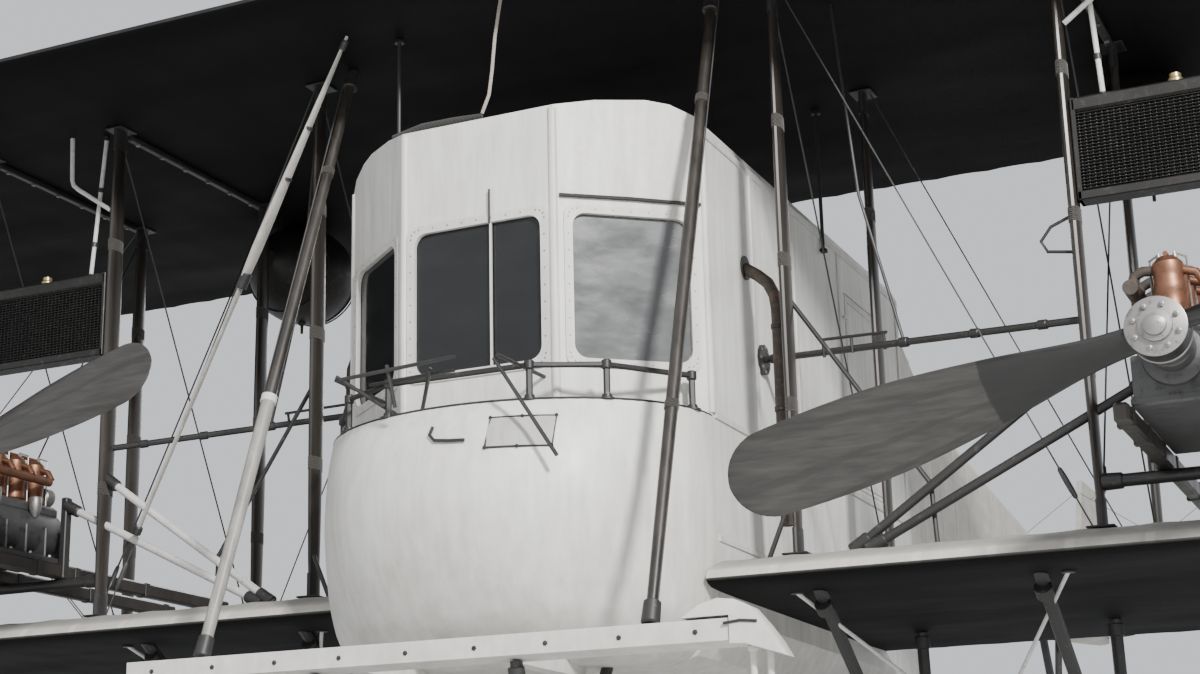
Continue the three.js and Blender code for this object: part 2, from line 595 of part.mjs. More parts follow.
noseFrame = noseFrame
  .subtract(box(-3000, 3000, BEAM.y - 200, BEAM.y + 200, BEAM.z0 - GAP, BEAM.z1 + 100))
  .subtract(box(-3000, 3000, BEAM.y + 200, 3000, HULL_BOTTOM - GAP, HULL_BOTTOM + 600));
piece('nose_gear_frame', noseFrame, 0x453c31);

// Twin wheels turned as one spool around the axle
function spool(radius, width, spread) {
  const bore = AXLE + 1;
  const rim = radius * 0.78;
  const half = spread / 2;
  const profile = [
    [bore, -half - width * 0.7], [80, -half - width * 0.7], [rim, -half - width * 0.3],
    [radius - width * 0.16, -half - width * 0.5],
    [radius, -half - width * 0.16], [radius, -half + width * 0.16],
    [radius - width * 0.16, -half + width * 0.5], [rim, -half + width * 0.3],
    [80, -half + width * 0.6], [80, half - width * 0.6], [rim, half - width * 0.3],
    [radius - width * 0.16, half - width * 0.5], [radius, half - width * 0.16],
    [radius, half + width * 0.16], [radius - width * 0.16, half + width * 0.5],
    [rim, half + width * 0.3], [80, half + width * 0.7], [bore, half + width * 0.7],
  ];
  const rings = [];
  const steps = 32;
  for (let i = 0; i < steps; i += 1) {
    const turn = (2 * Math.PI * i) / steps;
    rings.push(profile.map(([r, w]) => [w, r * Math.cos(turn), r * Math.sin(turn)]));
  }
  const count = profile.length;
  const faces = [];
  for (let i = 0; i < steps; i += 1) {
    for (let k = 0; k < count; k += 1) {
      const a = i * count + k;
      const b = i * count + (k + 1) % count;
      const c = ((i + 1) % steps) * count + k;
      const d = ((i + 1) % steps) * count + (k + 1) % count;
      faces.push(a, b, d, a, d, c);
    }
  }
  const geometry = new THREE.BufferGeometry();
  geometry.setAttribute('position', new THREE.Float32BufferAttribute(rings.flat(2), 3));
  geometry.setIndex(faces);
  const solid = toSolid(geometry);
  return solid.volume() < 0 ? toSolid(flipped(geometry)) : solid;
}
piece('nose_wheels', spool(NOSE_WHEEL.radius, 120, NOSE_WHEEL.spread * 2)
  .translate([0, NOSE_WHEEL.y, NOSE_WHEEL.radius]), 0x4b4a47);

// Main gear: a braced frame under each lower wing with twin wheels on a fixed axle
const MAIN = { x: 2150, y: 2850, radius: 560, spread: 520, half: 620 };
for (const [sideName, side] of Object.entries(SIDES)) {
  const parts = [rod([side * (MAIN.x - MAIN.half), MAIN.y, MAIN.radius],
    [side * (MAIN.x + MAIN.half), MAIN.y, MAIN.radius], AXLE, 12)];
  for (const offset of [-MAIN.half + 50, MAIN.half - 50]) {
    const x = side * (MAIN.x + offset);
    parts.push(rod([x, frontY, LOWER_Z + 40], [x, MAIN.y, MAIN.radius], 36, 8));
    parts.push(rod([x, rearY + 250, LOWER_Z + 40], [x, MAIN.y, MAIN.radius], 36, 8));
  }
  const frame = join(parts).subtract(box(-9000, 9000, -3000, 3200, LOWER_Z - GAP, LOWER_Z + 500));
  piece(`main_gear_${sideName}`, frame, 0x453c31);
  piece(`main_wheels_${sideName}`, spool(MAIN.radius, 150, MAIN.spread)
    .translate([side * MAIN.x, MAIN.y, MAIN.radius]), 0x4b4a47);
}

// Tail: tailplane, elevator, twin fins and rudders, skid
const TAIL_Z = 3900 + GAP;
const TAIL_THICK = 84;
const ELEVATOR_Y = 17140;
const FIXED_END = ELEVATOR_Y - 60;
const tailRing = (x, front) => [
  [x, front, TAIL_Z + 42], [x, front + 60, TAIL_Z + 6], [x, front + 300, TAIL_Z], [x, FIXED_END, TAIL_Z],
  [x, FIXED_END, TAIL_Z + TAIL_THICK], [x, front + 300, TAIL_Z + TAIL_THICK], [x, front + 60, TAIL_Z + 76],
];
const [tailplane, elevator] = hingePair(
  loft([tailRing(-4300, 15900), tailRing(-3300, 15150), tailRing(3300, 15150), tailRing(4300, 15900)]),
  flap(40, 820, 8, 8500).translate([0, ELEVATOR_Y, TAIL_Z + 42]),
  'x', { y: ELEVATOR_Y, z: TAIL_Z + 42 }, [-3800, -1000, 1000, 3800], 90);
piece('tailplane', tailplane, 0xd6d0be);
piece('elevator', elevator, 0xd6d0be);
const FIN = { top: 5500, y0: 15800, rudderLow: 4400 };
const FINS = { port: 1900, centre: 0, starboard: -1900 };
for (const [place, x] of Object.entries(FINS)) {
  const outline = [[FIN.y0, TAIL_Z + TAIL_THICK + GAP], [FIXED_END, TAIL_Z + TAIL_THICK + GAP],
    [FIXED_END, FIN.top], [FIN.y0 + 700, FIN.top]];
  const [fin, rudder] = hingePair(
    loft([x - 34, x + 34].map((w) => outline.map(([y, z]) => [w, y, z]))),
    flap(38, 820, 8, FIN.top - FIN.rudderLow).rotate([0, 90, 0])
      .translate([x, ELEVATOR_Y, (FIN.top + FIN.rudderLow) / 2]),
    'z', { x, y: ELEVATOR_Y }, [FIN.rudderLow + 120, FIN.top - 120], 90);
  piece(`fin_${place}`, fin, 0xd6d0be);
  piece(`rudder_${place}`, rudder, 0xd6d0be);
}
piece('tail_skid', join([
  rod([0, 13500, 3400], [0, 14100, 2350], 45, 8),
  rod([0, 14500, 3450], [0, 14100, 2350], 40, 8),
  rod([0, 13900, 2340], [0, 14600, 2260], 55, 8),
]).subtract(loft(TAIL_STATIONS.slice(2).map((s) => bodyRing({ ...s, low: s.low - GAP })))), 0x453c31);

export default group;
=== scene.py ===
# %% [markdown]
# This scene dresses a giant biplane of about 1914: a deep pale nose with a boat-shaped tub, wings of
# doped linen on wooden ribs, and four engines that stand between the struts of the lower wing.
# The solids come from the frame. Each is either given a better finish or replaced by a finer form of
# the same size, because the solids carry the true dimensions.

# %% Load the solids
import json
import math

import bmesh
import bpy
from mathutils import Matrix, Vector

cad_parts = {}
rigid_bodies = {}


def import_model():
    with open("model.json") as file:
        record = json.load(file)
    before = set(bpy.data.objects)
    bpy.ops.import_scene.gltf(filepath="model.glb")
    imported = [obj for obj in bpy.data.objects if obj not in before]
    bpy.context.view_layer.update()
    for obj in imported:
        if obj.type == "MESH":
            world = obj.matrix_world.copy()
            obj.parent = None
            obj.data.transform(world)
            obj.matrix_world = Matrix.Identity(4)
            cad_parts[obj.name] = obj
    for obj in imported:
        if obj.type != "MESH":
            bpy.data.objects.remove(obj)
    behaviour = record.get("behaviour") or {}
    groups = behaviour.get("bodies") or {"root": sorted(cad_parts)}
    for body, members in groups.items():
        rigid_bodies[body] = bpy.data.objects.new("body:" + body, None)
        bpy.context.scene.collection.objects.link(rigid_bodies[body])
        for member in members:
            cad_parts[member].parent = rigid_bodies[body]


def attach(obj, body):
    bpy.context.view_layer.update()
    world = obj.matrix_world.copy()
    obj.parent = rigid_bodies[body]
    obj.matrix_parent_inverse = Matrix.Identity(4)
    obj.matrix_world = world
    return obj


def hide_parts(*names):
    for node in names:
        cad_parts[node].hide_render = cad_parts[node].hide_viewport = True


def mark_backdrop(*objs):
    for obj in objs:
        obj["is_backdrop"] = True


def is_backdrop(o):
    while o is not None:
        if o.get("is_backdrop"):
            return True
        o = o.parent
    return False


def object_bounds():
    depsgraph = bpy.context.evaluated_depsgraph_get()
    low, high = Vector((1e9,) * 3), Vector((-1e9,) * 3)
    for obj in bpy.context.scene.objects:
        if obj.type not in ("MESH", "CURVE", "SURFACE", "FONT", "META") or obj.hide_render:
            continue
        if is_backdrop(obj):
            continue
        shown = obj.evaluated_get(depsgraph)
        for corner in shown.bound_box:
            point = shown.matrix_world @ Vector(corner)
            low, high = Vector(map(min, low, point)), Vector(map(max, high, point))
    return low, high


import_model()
cad_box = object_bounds()
print("solids span", [round(v, 3) for v in cad_box[1] - cad_box[0]])

# %% [markdown]
# Aircraft are measured from a datum. Here it is the flat front of the windscreen, so that every place
# reads as so many metres to port, aft and up. Each piece could carry its own numbers, but then two pieces
# that meet could drift apart, so the shared ones stand here. One helper turns such a place into the shared
# frame, which has its origin under the middle of the whole aircraft.

# %% Main measures, in metres from the windscreen
NOSE_Y = -8.56
HULL_HALF = 1.12
NOSE_HALF = 0.47
QUARTER_Y = 0.55
HULL_BOTTOM = 1.55
RIM_Z = 2.87
UPPER_Z = 5.35
LOWER_Z = 1.93
UPPER_LEAD, UPPER_CHORD, UPPER_HALF = -0.4, 4.70, 17.0
LOWER_LEAD, LOWER_CHORD, LOWER_HALF = 0.36, 3.20, 13.3
UPPER_THICK = 1.3
CENTRE_HALF = 1.70
UNDER_WING = 5.349
SEAM = 0.0003
FRONT_Y, REAR_Y = 0.76, 2.488
RIB_SPACING = 0.37
HUB = (3.61, -0.658, 2.70)
ENGINE_PLACES = {"inner": 3.61, "outer": 8.00}
SIDES = {"port": 1, "starboard": -1}
ACROSS, AFT, AHEAD = (1, 0, 0), (0, 1, 0), (0, -1, 0)
UP, DOWN = (0, 0, 1), (0, 0, -1)


def at(x, y, z):
    """A place in the shared frame from metres to port, aft of the windscreen, and up."""
    return Vector((x, y + NOSE_Y, z))


def turns(count, start=0.0, sweep=2 * math.pi):
    """Angles in even steps round a circle, or round a part of it."""
    return [start + sweep * i / count for i in range(count)]


print("windscreen at y", NOSE_Y, "hub", [round(v, 3) for v in at(*HUB)])

# %% [markdown]
# Blender can build meshes by hand, with modifiers or in code. A frame aircraft is made of many like
# parts, so each piece here is gathered from rings in one list of points and faces, which then becomes one
# mesh. That keeps the object list short and each loop readable.

# %% A gathered skin
class Skin:
    """Points and faces of one piece, with the number of a finish for each face."""

    def __init__(self):
        self.points = []
        self.faces = []
        self.finish = []

    def add(self, points, faces, finish=0):
        start = len(self.points)
        self.points += [tuple(p) for p in points]
        self.faces += [tuple(start + i for i in face) for face in faces]
        self.finish += [finish] * len(faces)

    def loft(self, rings, finish=0, caps=True):
        """Skin over rings of points that all have the same count."""
        count = len(rings[0])
        faces = []
        for r in range(len(rings) - 1):
            for i in range(count):
                a = r * count + i
                b = r * count + (i + 1) % count
                faces.append((a, b, b + count, a + count))
        if caps:
            end = (len(rings) - 1) * count
            faces.append(tuple(range(count - 1, -1, -1)))
            faces.append(tuple(end + i for i in range(count)))
        self.add([p for ring in rings for p in ring], faces, finish)

    def moved(self, matrix):
        """Turns or shifts all points."""
        self.points = [tuple(matrix @ Vector(p)) for p in self.points]


print("skin helper ready")

# %% [markdown]
# Most parts of a frame aircraft are tubes, turned fittings and bars. Blender has a primitive for each, but
# a primitive is sharp-edged and straight. These three members are lofted instead: a tube follows a path,
# a turned form takes any profile, and a bar has its edges broken.

# %% Tubes, turned forms and bars
class Shape(Skin):
    """A skin that can also be given tubes, turned forms and bars."""

    def tube(self, path, radius, sides=8, finish=0, caps=True):
        """A round tube along a path. The radius is one number or one for each point."""
        path = [Vector(p) for p in path]
        radii = list(radius) if isinstance(radius, (list, tuple)) else [radius] * len(path)
        across = None
        rings = []
        for i, p in enumerate(path):
            along = (path[min(i + 1, len(path) - 1)] - path[max(i - 1, 0)]).normalized()
            if across is None:
                across = along.orthogonal()
            across = (across - along * across.dot(along)).normalized()
            beside = along.cross(across)
            rings.append([p + (across * math.cos(t) + beside * math.sin(t)) * radii[i]
                          for t in turns(sides)])
        self.loft(rings, finish, caps)

    def turned(self, centre, axis, profile, steps=24, finish=0, closed=False):
        """A turned form. The profile is pairs of distance along the axis and radius."""
        axis = Vector(axis).normalized()
        across = axis.orthogonal().normalized()
        beside = axis.cross(across)
        rings = [[Vector(centre) + axis * d + (across * math.cos(t) + beside * math.sin(t)) * r
                  for t in turns(steps)] for d, r in profile]
        if closed:
            rings.append(rings[0])
        self.loft(rings, finish, caps=not closed)

    def block(self, low, high, finish=0, edge=0.004):
        """A box with small chamfers, from two opposite corners."""
        (x0, y0, z0), (x1, y1, z1) = low, high
        e = min(edge, abs(x1 - x0) / 3, abs(y1 - y0) / 3, abs(z1 - z0) / 3)
        rings = []
        for z, inset in ((z0, e), (z0 + e, 0), (z1 - e, 0), (z1, e)):
            a, b, c, d = x0 + inset, x1 - inset, y0 + inset, y1 - inset
            k = e if inset == 0 else e / 2
            rings.append([(a + k, c, z), (b - k, c, z), (b, c + k, z), (b, d - k, z),
                          (b - k, d, z), (a + k, d, z), (a, d - k, z), (a, c + k, z)])
        self.loft(rings, finish)


print("shape helper ready")

# %% [markdown]
# A gathered shape becomes a Blender mesh in one step. A loft may come out inside out, so all faces are
# turned outward. Edges sharper than a given angle stay crisp, and the rest shade smooth. All of this can
# be done by hand in edit mode, but a function does it alike for every piece.

# %% From a shape to a mesh
def turn_outward(mesh):
    """Turns all faces outward."""
    work = bmesh.new()
    work.from_mesh(mesh)
    bmesh.ops.recalc_face_normals(work, faces=work.faces)
    work.to_mesh(mesh)
    work.free()


def build(shape, name, finishes, body="airframe", sharp=32, replaces=()):
    """Makes the mesh object of a shape, hangs it on its body and hides the solids it stands for."""
    mesh = bpy.data.meshes.new(name)
    mesh.from_pydata(shape.points, [], shape.faces)
    for material in finishes:
        mesh.materials.append(material)
    mesh.polygons.foreach_set("material_index", shape.finish)
    mesh.polygons.foreach_set("use_smooth", [True] * len(shape.faces))
    mesh.validate()
    turn_outward(mesh)
    mesh.set_sharp_from_angle(angle=math.radians(sharp))
    obj = bpy.data.objects.new(name, mesh)
    bpy.context.scene.collection.objects.link(obj)
    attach(obj, body)
    if replaces:
        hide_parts(*replaces)
    mesh.calc_loop_triangles()
    print(name, len(mesh.loop_triangles), "triangles")
    return obj


print("mesh helpers ready")

# %% [markdown]
# A real surface is never one flat colour. Paint carries dirt and brush marks, linen shows its weave and
# wood its grain. All of that can come from noise and wave nodes in object coordinates, which stay fixed
# to the piece when it moves and need no picture files.

# %% Node helpers
def add_node(tree, kind, inputs=None, **settings):
    """A new shader node. Inputs are numbers, colours or the outputs of other nodes."""
    made = tree.nodes.new(kind)
    for key, value in settings.items():
        setattr(made, key, value)
    for key, value in (inputs or {}).items():
        if isinstance(value, bpy.types.NodeSocket):
            tree.links.new(value, made.inputs[key])
        else:
            made.inputs[key].default_value = value
    return made


def place_on_piece(tree, stretch=(1, 1, 1)):
    where = add_node(tree, "ShaderNodeTexCoord")
    return add_node(tree, "ShaderNodeMapping", {"Vector": where.outputs["Object"],
                                                "Scale": stretch}).outputs["Vector"]


def noise(tree, scale, stretch=(1, 1, 1), detail=5.0, roughness=0.6):
    return add_node(tree, "ShaderNodeTexNoise",
                    {"Vector": place_on_piece(tree, stretch), "Scale": scale, "Detail": detail,
                     "Roughness": roughness}).outputs["Fac"]


def remap(tree, value, low, high, to_low=0.0, to_high=1.0):
    return add_node(tree, "ShaderNodeMapRange",
                    {"Value": value, "From Min": low, "From Max": high,
                     "To Min": to_low, "To Max": to_high}).outputs["Result"]


def maths(tree, operation, a, b=0.0):
    return add_node(tree, "ShaderNodeMath", {0: a, 1: b}, operation=operation).outputs["Value"]


print("node helpers ready")

# %% [markdown]
# Every finish here mixes two colours by a mask, reads a place on the piece and raises the surface with a
# bump. The nodes could be laid out by hand, but functions keep the finishes alike, and they set constant
# values on the shader's own sockets, so that an exported copy keeps them.

# %% Colour and surface helpers
def blend_colour(tree, share, first, second):
    """Mixes two colours, each a tuple or another node's output."""
    first, second = ((*c, 1) if isinstance(c, tuple) else c for c in (first, second))
    return add_node(tree, "ShaderNodeMix", {0: share, 6: first, 7: second}, data_type="RGBA").outputs[2]


def axes_of(tree, kind="Object"):
    """X, Y and Z of a place on the piece, or of its surface's direction."""
    where = add_node(tree, "ShaderNodeTexCoord")
    return add_node(tree, "ShaderNodeSeparateXYZ", {"Vector": where.outputs[kind]}).outputs


def raise_surface(tree, shader, height, distance, strength=1.0):
    bump = add_node(tree, "ShaderNodeBump", {"Height": height, "Distance": distance,
                                             "Strength": strength})
    tree.links.new(bump.outputs["Normal"], shader.inputs["Normal"])


def new_finish(name, roughness=0.6, metallic=0.0, coat=0.0, sheen=0.0):
    material = bpy.data.materials.new(name)
    material.use_nodes = True
    tree = material.node_tree
    shader = tree.nodes["Principled BSDF"]
    shader.inputs["Roughness"].default_value = roughness
    shader.inputs["Metallic"].default_value = metallic
    shader.inputs["Coat Weight"].default_value = coat
    shader.inputs["Coat Roughness"].default_value = 0.25
    shader.inputs["Sheen Weight"].default_value = sheen
    return material, tree, shader


print("colour and surface helpers ready")

# %% [markdown]
# The nose is thin plywood, painted pale and already weathered: rain has drawn faint streaks down the
# sides, dust lies near the bottom and the grain telegraphs through the paint. A painted picture could show
# this, but it would need unwrapping. Stretching a noise along the height makes the streaks, and a second
# one stretched along the fuselage makes the grain, at the same scale on every piece.

# %% Painted plywood of the nose
def painted_ply(name, light, shade, dust_height):
    material, tree, shader = new_finish(name, coat=0.12)
    streaks = noise(tree, 5.0, (3.0, 3.0, 0.35), 6.0)
    patches = noise(tree, 1.3, (1.0, 1.0, 1.0), 4.0)
    mixed = remap(tree, maths(tree, "ADD", streaks, patches), 0.72, 1.32)
    painted = blend_colour(tree, mixed, shade, light)
    dust = remap(tree, axes_of(tree)["Z"], HULL_BOTTOM, dust_height, 0.45, 0.0)
    dirt = maths(tree, "MULTIPLY", dust, remap(tree, noise(tree, 9.0), 0.3, 0.7, 0.4, 1.0))
    tree.links.new(blend_colour(tree, dirt, painted, (0.30, 0.28, 0.24)), shader.inputs["Base Color"])
    fine = noise(tree, 40.0, (1.0, 0.12, 1.0), 4.0)
    tree.links.new(remap(tree, fine, 0.3, 0.7, 0.42, 0.62), shader.inputs["Roughness"])
    swells = maths(tree, "MULTIPLY", patches, 1.6)
    rough = maths(tree, "ADD", swells, maths(tree, "MULTIPLY", fine, 0.25))
    raise_surface(tree, shader, rough, 0.006, 0.5)
    return material


NOSE_PAINT = painted_ply("nose_paint", (0.82, 0.81, 0.77), (0.58, 0.565, 0.52), 2.6)
BEAM_PAINT = painted_ply("beam_paint", (0.86, 0.85, 0.82), (0.68, 0.66, 0.61), 1.9)
GREY_PATCH = painted_ply("grey_patch", (0.50, 0.49, 0.46), (0.33, 0.32, 0.30), 2.2)
TRIM_PAINT = painted_ply("trim_paint", (0.74, 0.73, 0.69), (0.52, 0.50, 0.46), 2.2)
print("painted plywood:", NOSE_PAINT.name, BEAM_PAINT.name, TRIM_PAINT.name)

# %% [markdown]
# The wings are covered with linen, shrunk tight with dope, and close up its threads can be seen. Modelled
# threads would be millions of faces. Two crossed wave textures that only raise the surface give the same
# look at no cost.

# %% Weave of the linen
WEAVE_PITCH = 0.009
WAVE_SCALE = 0.31 / WEAVE_PITCH


def weave(tree):
    waves = []
    for direction in ("X", "Y"):
        wave = add_node(tree, "ShaderNodeTexWave",
                        {"Vector": place_on_piece(tree), "Scale": WAVE_SCALE, "Distortion": 1.5,
                         "Detail": 1.0}, bands_direction=direction)
        waves.append(wave.outputs["Fac"])
    return maths(tree, "ADD", waves[0], waves[1])


print("weave pitch", WEAVE_PITCH)

# %% [markdown]
# The upper wing is coloured dark and the undersides of the wings near black, and faces of the lower wing that
# look up are coloured grey: all of this is painted shade. The nose of the lower wing stays pale, and a tape
# covers the stitches at each rib. Separate materials for top and bottom would need the skin cut into groups
# of faces. A mask from the surface's own direction does it in one material, so one function makes all linens.

# %% Doped linen
TAPE_EDGE = (0.435, 0.445)
# Ranges of the facing mask that lays painted shade on undersides and on tops.
LOOKS_DOWN = (-0.55, -0.85)
LOOKS_UP = (0.80, 0.93)


def rib_tapes(tree, strength):
    """A mask that is strong where a tape covers the stitches along a rib."""
    along = maths(tree, "ABSOLUTE", axes_of(tree)["X"])
    beat = maths(tree, "FRACT", maths(tree, "DIVIDE", along, RIB_SPACING))
    near = maths(tree, "ABSOLUTE", maths(tree, "SUBTRACT", beat, 0.5))
    return remap(tree, near, *TAPE_EDGE, 0.0, strength)


def linen(name, light, shade, under=None, tapes=0.0, over=None):
    """Doped linen, with painted shade, if given, on faces that look down or up."""
    material, tree, shader = new_finish(name)
    shader.inputs["Specular IOR Level"].default_value = 0.1 if under else 0.4
    stains = noise(tree, 1.1, (0.6, 1.6, 1.0), 6.0)
    streaks = noise(tree, 7.0, (1.0, 0.25, 1.0), 4.0)
    cover = blend_colour(tree, remap(tree, maths(tree, "ADD", stains, streaks), 0.75, 1.3), shade, light)
    if tapes:
        lighter = tuple(min(1.0, 1.3 * v) for v in light)
        cover = blend_colour(tree, rib_tapes(tree, tapes), cover, lighter)
    # Painted shade: faces that look up get a grey colour, and faces that look down a near-black one.
    if under:
        down = axes_of(tree, "Normal")["Z"]
        if over:
            grey = blend_colour(tree, remap(tree, streaks, 0.3, 0.7), tuple(0.8 * v for v in over), over)
            cover = blend_colour(tree, remap(tree, down, *LOOKS_UP), cover, grey)
        dark = blend_colour(tree, remap(tree, stains, 0.35, 0.65), tuple(0.6 * v for v in under), under)
        cover = blend_colour(tree, remap(tree, down, *LOOKS_DOWN), cover, dark)
    tree.links.new(cover, shader.inputs["Base Color"])
    threads = weave(tree)
    tree.links.new(remap(tree, stains, 0.3, 0.7, 0.62, 0.82), shader.inputs["Roughness"])
    raise_surface(tree, shader, threads, 0.0012, 0.35)
    return material


print("linen helper ready")

# %% [markdown]
# The wings, the body and the tail are the same cloth. The dark colour of the upper wing and the near-black
# undersides are painted shade, not dope. One linen with vertex colours could cover them all, but four named
# linens are easier to find and to change.

# %% The linens of the aircraft
# Painted shade: the undersides are coloured near black, and the whole upper wing dark, in place of the shade
# under the wings.
UNDERSIDE_SHADE_BLACK = (0.0065, 0.0065, 0.0065)
SHADE_DARK_LINEN = linen("shade_dark_linen", (0.026, 0.025, 0.024), (0.012, 0.012, 0.012), UNDERSIDE_SHADE_BLACK, 0.35)
BARE_LINEN = ((0.60, 0.585, 0.53), (0.44, 0.425, 0.375))
# Painted shade on the lower wing as well: grey on faces that look up, near black on faces that look down.
PALE_LINEN = linen("pale_linen", *BARE_LINEN, UNDERSIDE_SHADE_BLACK, 0.30, over=(0.36, 0.35, 0.32))
BODY_LINEN = linen("body_linen", *BARE_LINEN)
TAIL_LINEN = linen("tail_linen", *BARE_LINEN, tapes=0.30)
print("linen:", SHADE_DARK_LINEN.name, PALE_LINEN.name, BODY_LINEN.name)

# %% [markdown]
# Struts are spruce under dark varnish, with the grain running up each strut. A picture of wood could be
# wrapped on, but a noise stretched along the piece gives grain of the right scale on every piece at once.

# %% Varnished wood
def varnished_wood(name, light, dark, grain, coat=0.35, scale=14.0):
    material, tree, shader = new_finish(name, coat=coat)
    lines = noise(tree, scale, grain, 7.0, 0.65)
    broad = noise(tree, 2.2)
    colour = blend_colour(tree, remap(tree, lines, 0.32, 0.68), dark, light)
    darker = tuple(0.6 * v for v in dark)
    worn = blend_colour(tree, remap(tree, broad, 0.45, 0.75, 0.0, 0.45), colour, darker)
    tree.links.new(worn, shader.inputs["Base Color"])
    tree.links.new(remap(tree, lines, 0.3, 0.7, 0.3, 0.5), shader.inputs["Roughness"])
    raise_surface(tree, shader, lines, 0.0015, 0.4)
    return material


UP_GRAIN = (1.0, 1.0, 0.06)
STRUT_WOOD = varnished_wood("strut_wood", (0.042, 0.034, 0.027), (0.017, 0.014, 0.012), UP_GRAIN, 0.12)
POLE_WOOD = varnished_wood("pole_wood", (0.048, 0.040, 0.033), (0.019, 0.016, 0.013), UP_GRAIN, 0.12)
PALE_LATH = varnished_wood("pale_lath", (0.50, 0.48, 0.44), (0.33, 0.31, 0.275), UP_GRAIN, 0.1)
GREY_WOOD = varnished_wood("grey_wood", (0.34, 0.325, 0.295), (0.19, 0.18, 0.16), UP_GRAIN, 0.05)
ASH_WOOD = varnished_wood("ash_wood", (0.50, 0.42, 0.31), (0.33, 0.26, 0.18), UP_GRAIN)
PLY_COLOURS = ((0.34, 0.26, 0.17), (0.22, 0.16, 0.10))
FLOOR_PLY = varnished_wood("floor_ply", *PLY_COLOURS, (1.0, 0.08, 1.0), 0.1, 9.0)
print("wood:", STRUT_WOOD.name, ASH_WOOD.name, FLOOR_PLY.name)

# %% [markdown]
# The bulkhead is one board with two looks: varnished where the crew sees it, painted like the outside
# where its rim shows behind the cabin. A second material on some faces would do, but the board keeps the
# mesh of its solid, so the surface's own direction is again the mask between the two.

# %% Bulkhead ply
def bulkhead_ply():
    """Varnished like the floor on the cabin side, painted pale on the side that looks aft."""
    material = varnished_wood("bulkhead_ply", *PLY_COLOURS, (1.0, 1.0, 0.08), 0.1, 9.0)
    tree = material.node_tree
    shader = tree.nodes["Principled BSDF"]
    varnished = shader.inputs["Base Color"].links[0].from_socket
    aft = axes_of(tree, "Normal")["Y"]
    brushed = noise(tree, 5.0, (3.0, 3.0, 0.35))
    painted = blend_colour(tree, brushed, (0.50, 0.485, 0.44), (0.66, 0.645, 0.60))
    tree.links.new(blend_colour(tree, remap(tree, aft, -0.5, -0.4), varnished, painted),
                   shader.inputs["Base Color"])
    return material


BULKHEAD_PLY = bulkhead_ply()
print("bulkhead finish:", BULKHEAD_PLY.name)

# %% [markdown]
# Propellers were glued from planks, so grain and glue lines run along the blade. In the picture the inner
# part of each blade is dark and the rest worn grey, with a sharp edge between them. The distance from the
# nearest hub, worked out with maths nodes, gives that edge on all four without any marking by hand.

# %% Propeller wood
VARNISH_REACH = (0.775, 0.785)
WORN_GREY = ((0.021, 0.0195, 0.0175), (0.052, 0.0485, 0.043))
DARK_VARNISH = ((0.0045, 0.004, 0.0036), (0.0105, 0.0095, 0.0085))


def propeller_wood():
    """Glued planks: dark varnish round the hub, bare grey-brown wood beyond it."""
    material, tree, shader = new_finish("propeller_wood", coat=0.12)
    where = axes_of(tree)
    beside = [maths(tree, "ABSOLUTE", maths(tree, "SUBTRACT", maths(tree, "ABSOLUTE", where["X"]), x))
              for x in ENGINE_PLACES.values()]
    across = maths(tree, "POWER", maths(tree, "MINIMUM", beside[0], beside[1]), 2.0)
    above = maths(tree, "POWER", maths(tree, "SUBTRACT", where["Z"], HUB[2]), 2.0)
    reach = maths(tree, "SQRT", maths(tree, "ADD", across, above))
    lines = noise(tree, 34.0, (0.10, 1.0, 1.0), 8.0)
    planks = add_node(tree, "ShaderNodeTexWave",
                      {"Vector": place_on_piece(tree), "Scale": 5.2, "Distortion": 0.6, "Detail": 2.0},
                      bands_direction="Y")
    glue = remap(tree, planks.outputs["Fac"], 0.88, 0.97, 0.0, 0.5)
    outer = blend_colour(tree, remap(tree, lines, 0.3, 0.7), *WORN_GREY)
    outer = blend_colour(tree, glue, outer, (0.018, 0.0155, 0.013))
    inner = blend_colour(tree, remap(tree, lines, 0.3, 0.7), *DARK_VARNISH)
    edge = maths(tree, "ADD", reach, maths(tree, "MULTIPLY", noise(tree, 12.0), 0.02))
    both = blend_colour(tree, remap(tree, edge, *VARNISH_REACH), inner, outer)
    tree.links.new(both, shader.inputs["Base Color"])
    tree.links.new(remap(tree, lines, 0.3, 0.7, 0.32, 0.52), shader.inputs["Roughness"])
    raise_surface(tree, shader, lines, 0.002, 0.35)
    return material


PROPELLER_WOOD = propeller_wood()
print("propeller finish:", PROPELLER_WOOD.name)

# %% [markdown]
# Steel tubes are enamelled nearly black and rub bright where hands and tools touch them. The engine parts
# are bare iron with an oily bloom, the pipes rust with heat, and small fittings are bare metal. One flat
# colour each would look like plastic. A noise mask that lays a second colour over the first gives each kind
# its wear.

# %% Metals and rubber
def worn_metal(name, base, worn, metallic, roughness, share, scale=22.0):
    material, tree, shader = new_finish(name, metallic=metallic)
    mask = remap(tree, noise(tree, scale, (1, 1, 1), 8.0, 0.7), 0.62 - share, 0.70)
    broad = remap(tree, noise(tree, 2.5), 0.3, 0.7, 0.75, 1.15)
    shaded = add_node(tree, "ShaderNodeMix", {0: 1.0, 6: blend_colour(tree, mask, base, worn), 7: broad},
                      data_type="RGBA", blend_type="MULTIPLY")
    tree.links.new(shaded.outputs[2], shader.inputs["Base Color"])
    tree.links.new(remap(tree, mask, 0.0, 1.0, roughness, roughness - 0.15), shader.inputs["Roughness"])
    raise_surface(tree, shader, mask, 0.0008, 0.5)
    return material


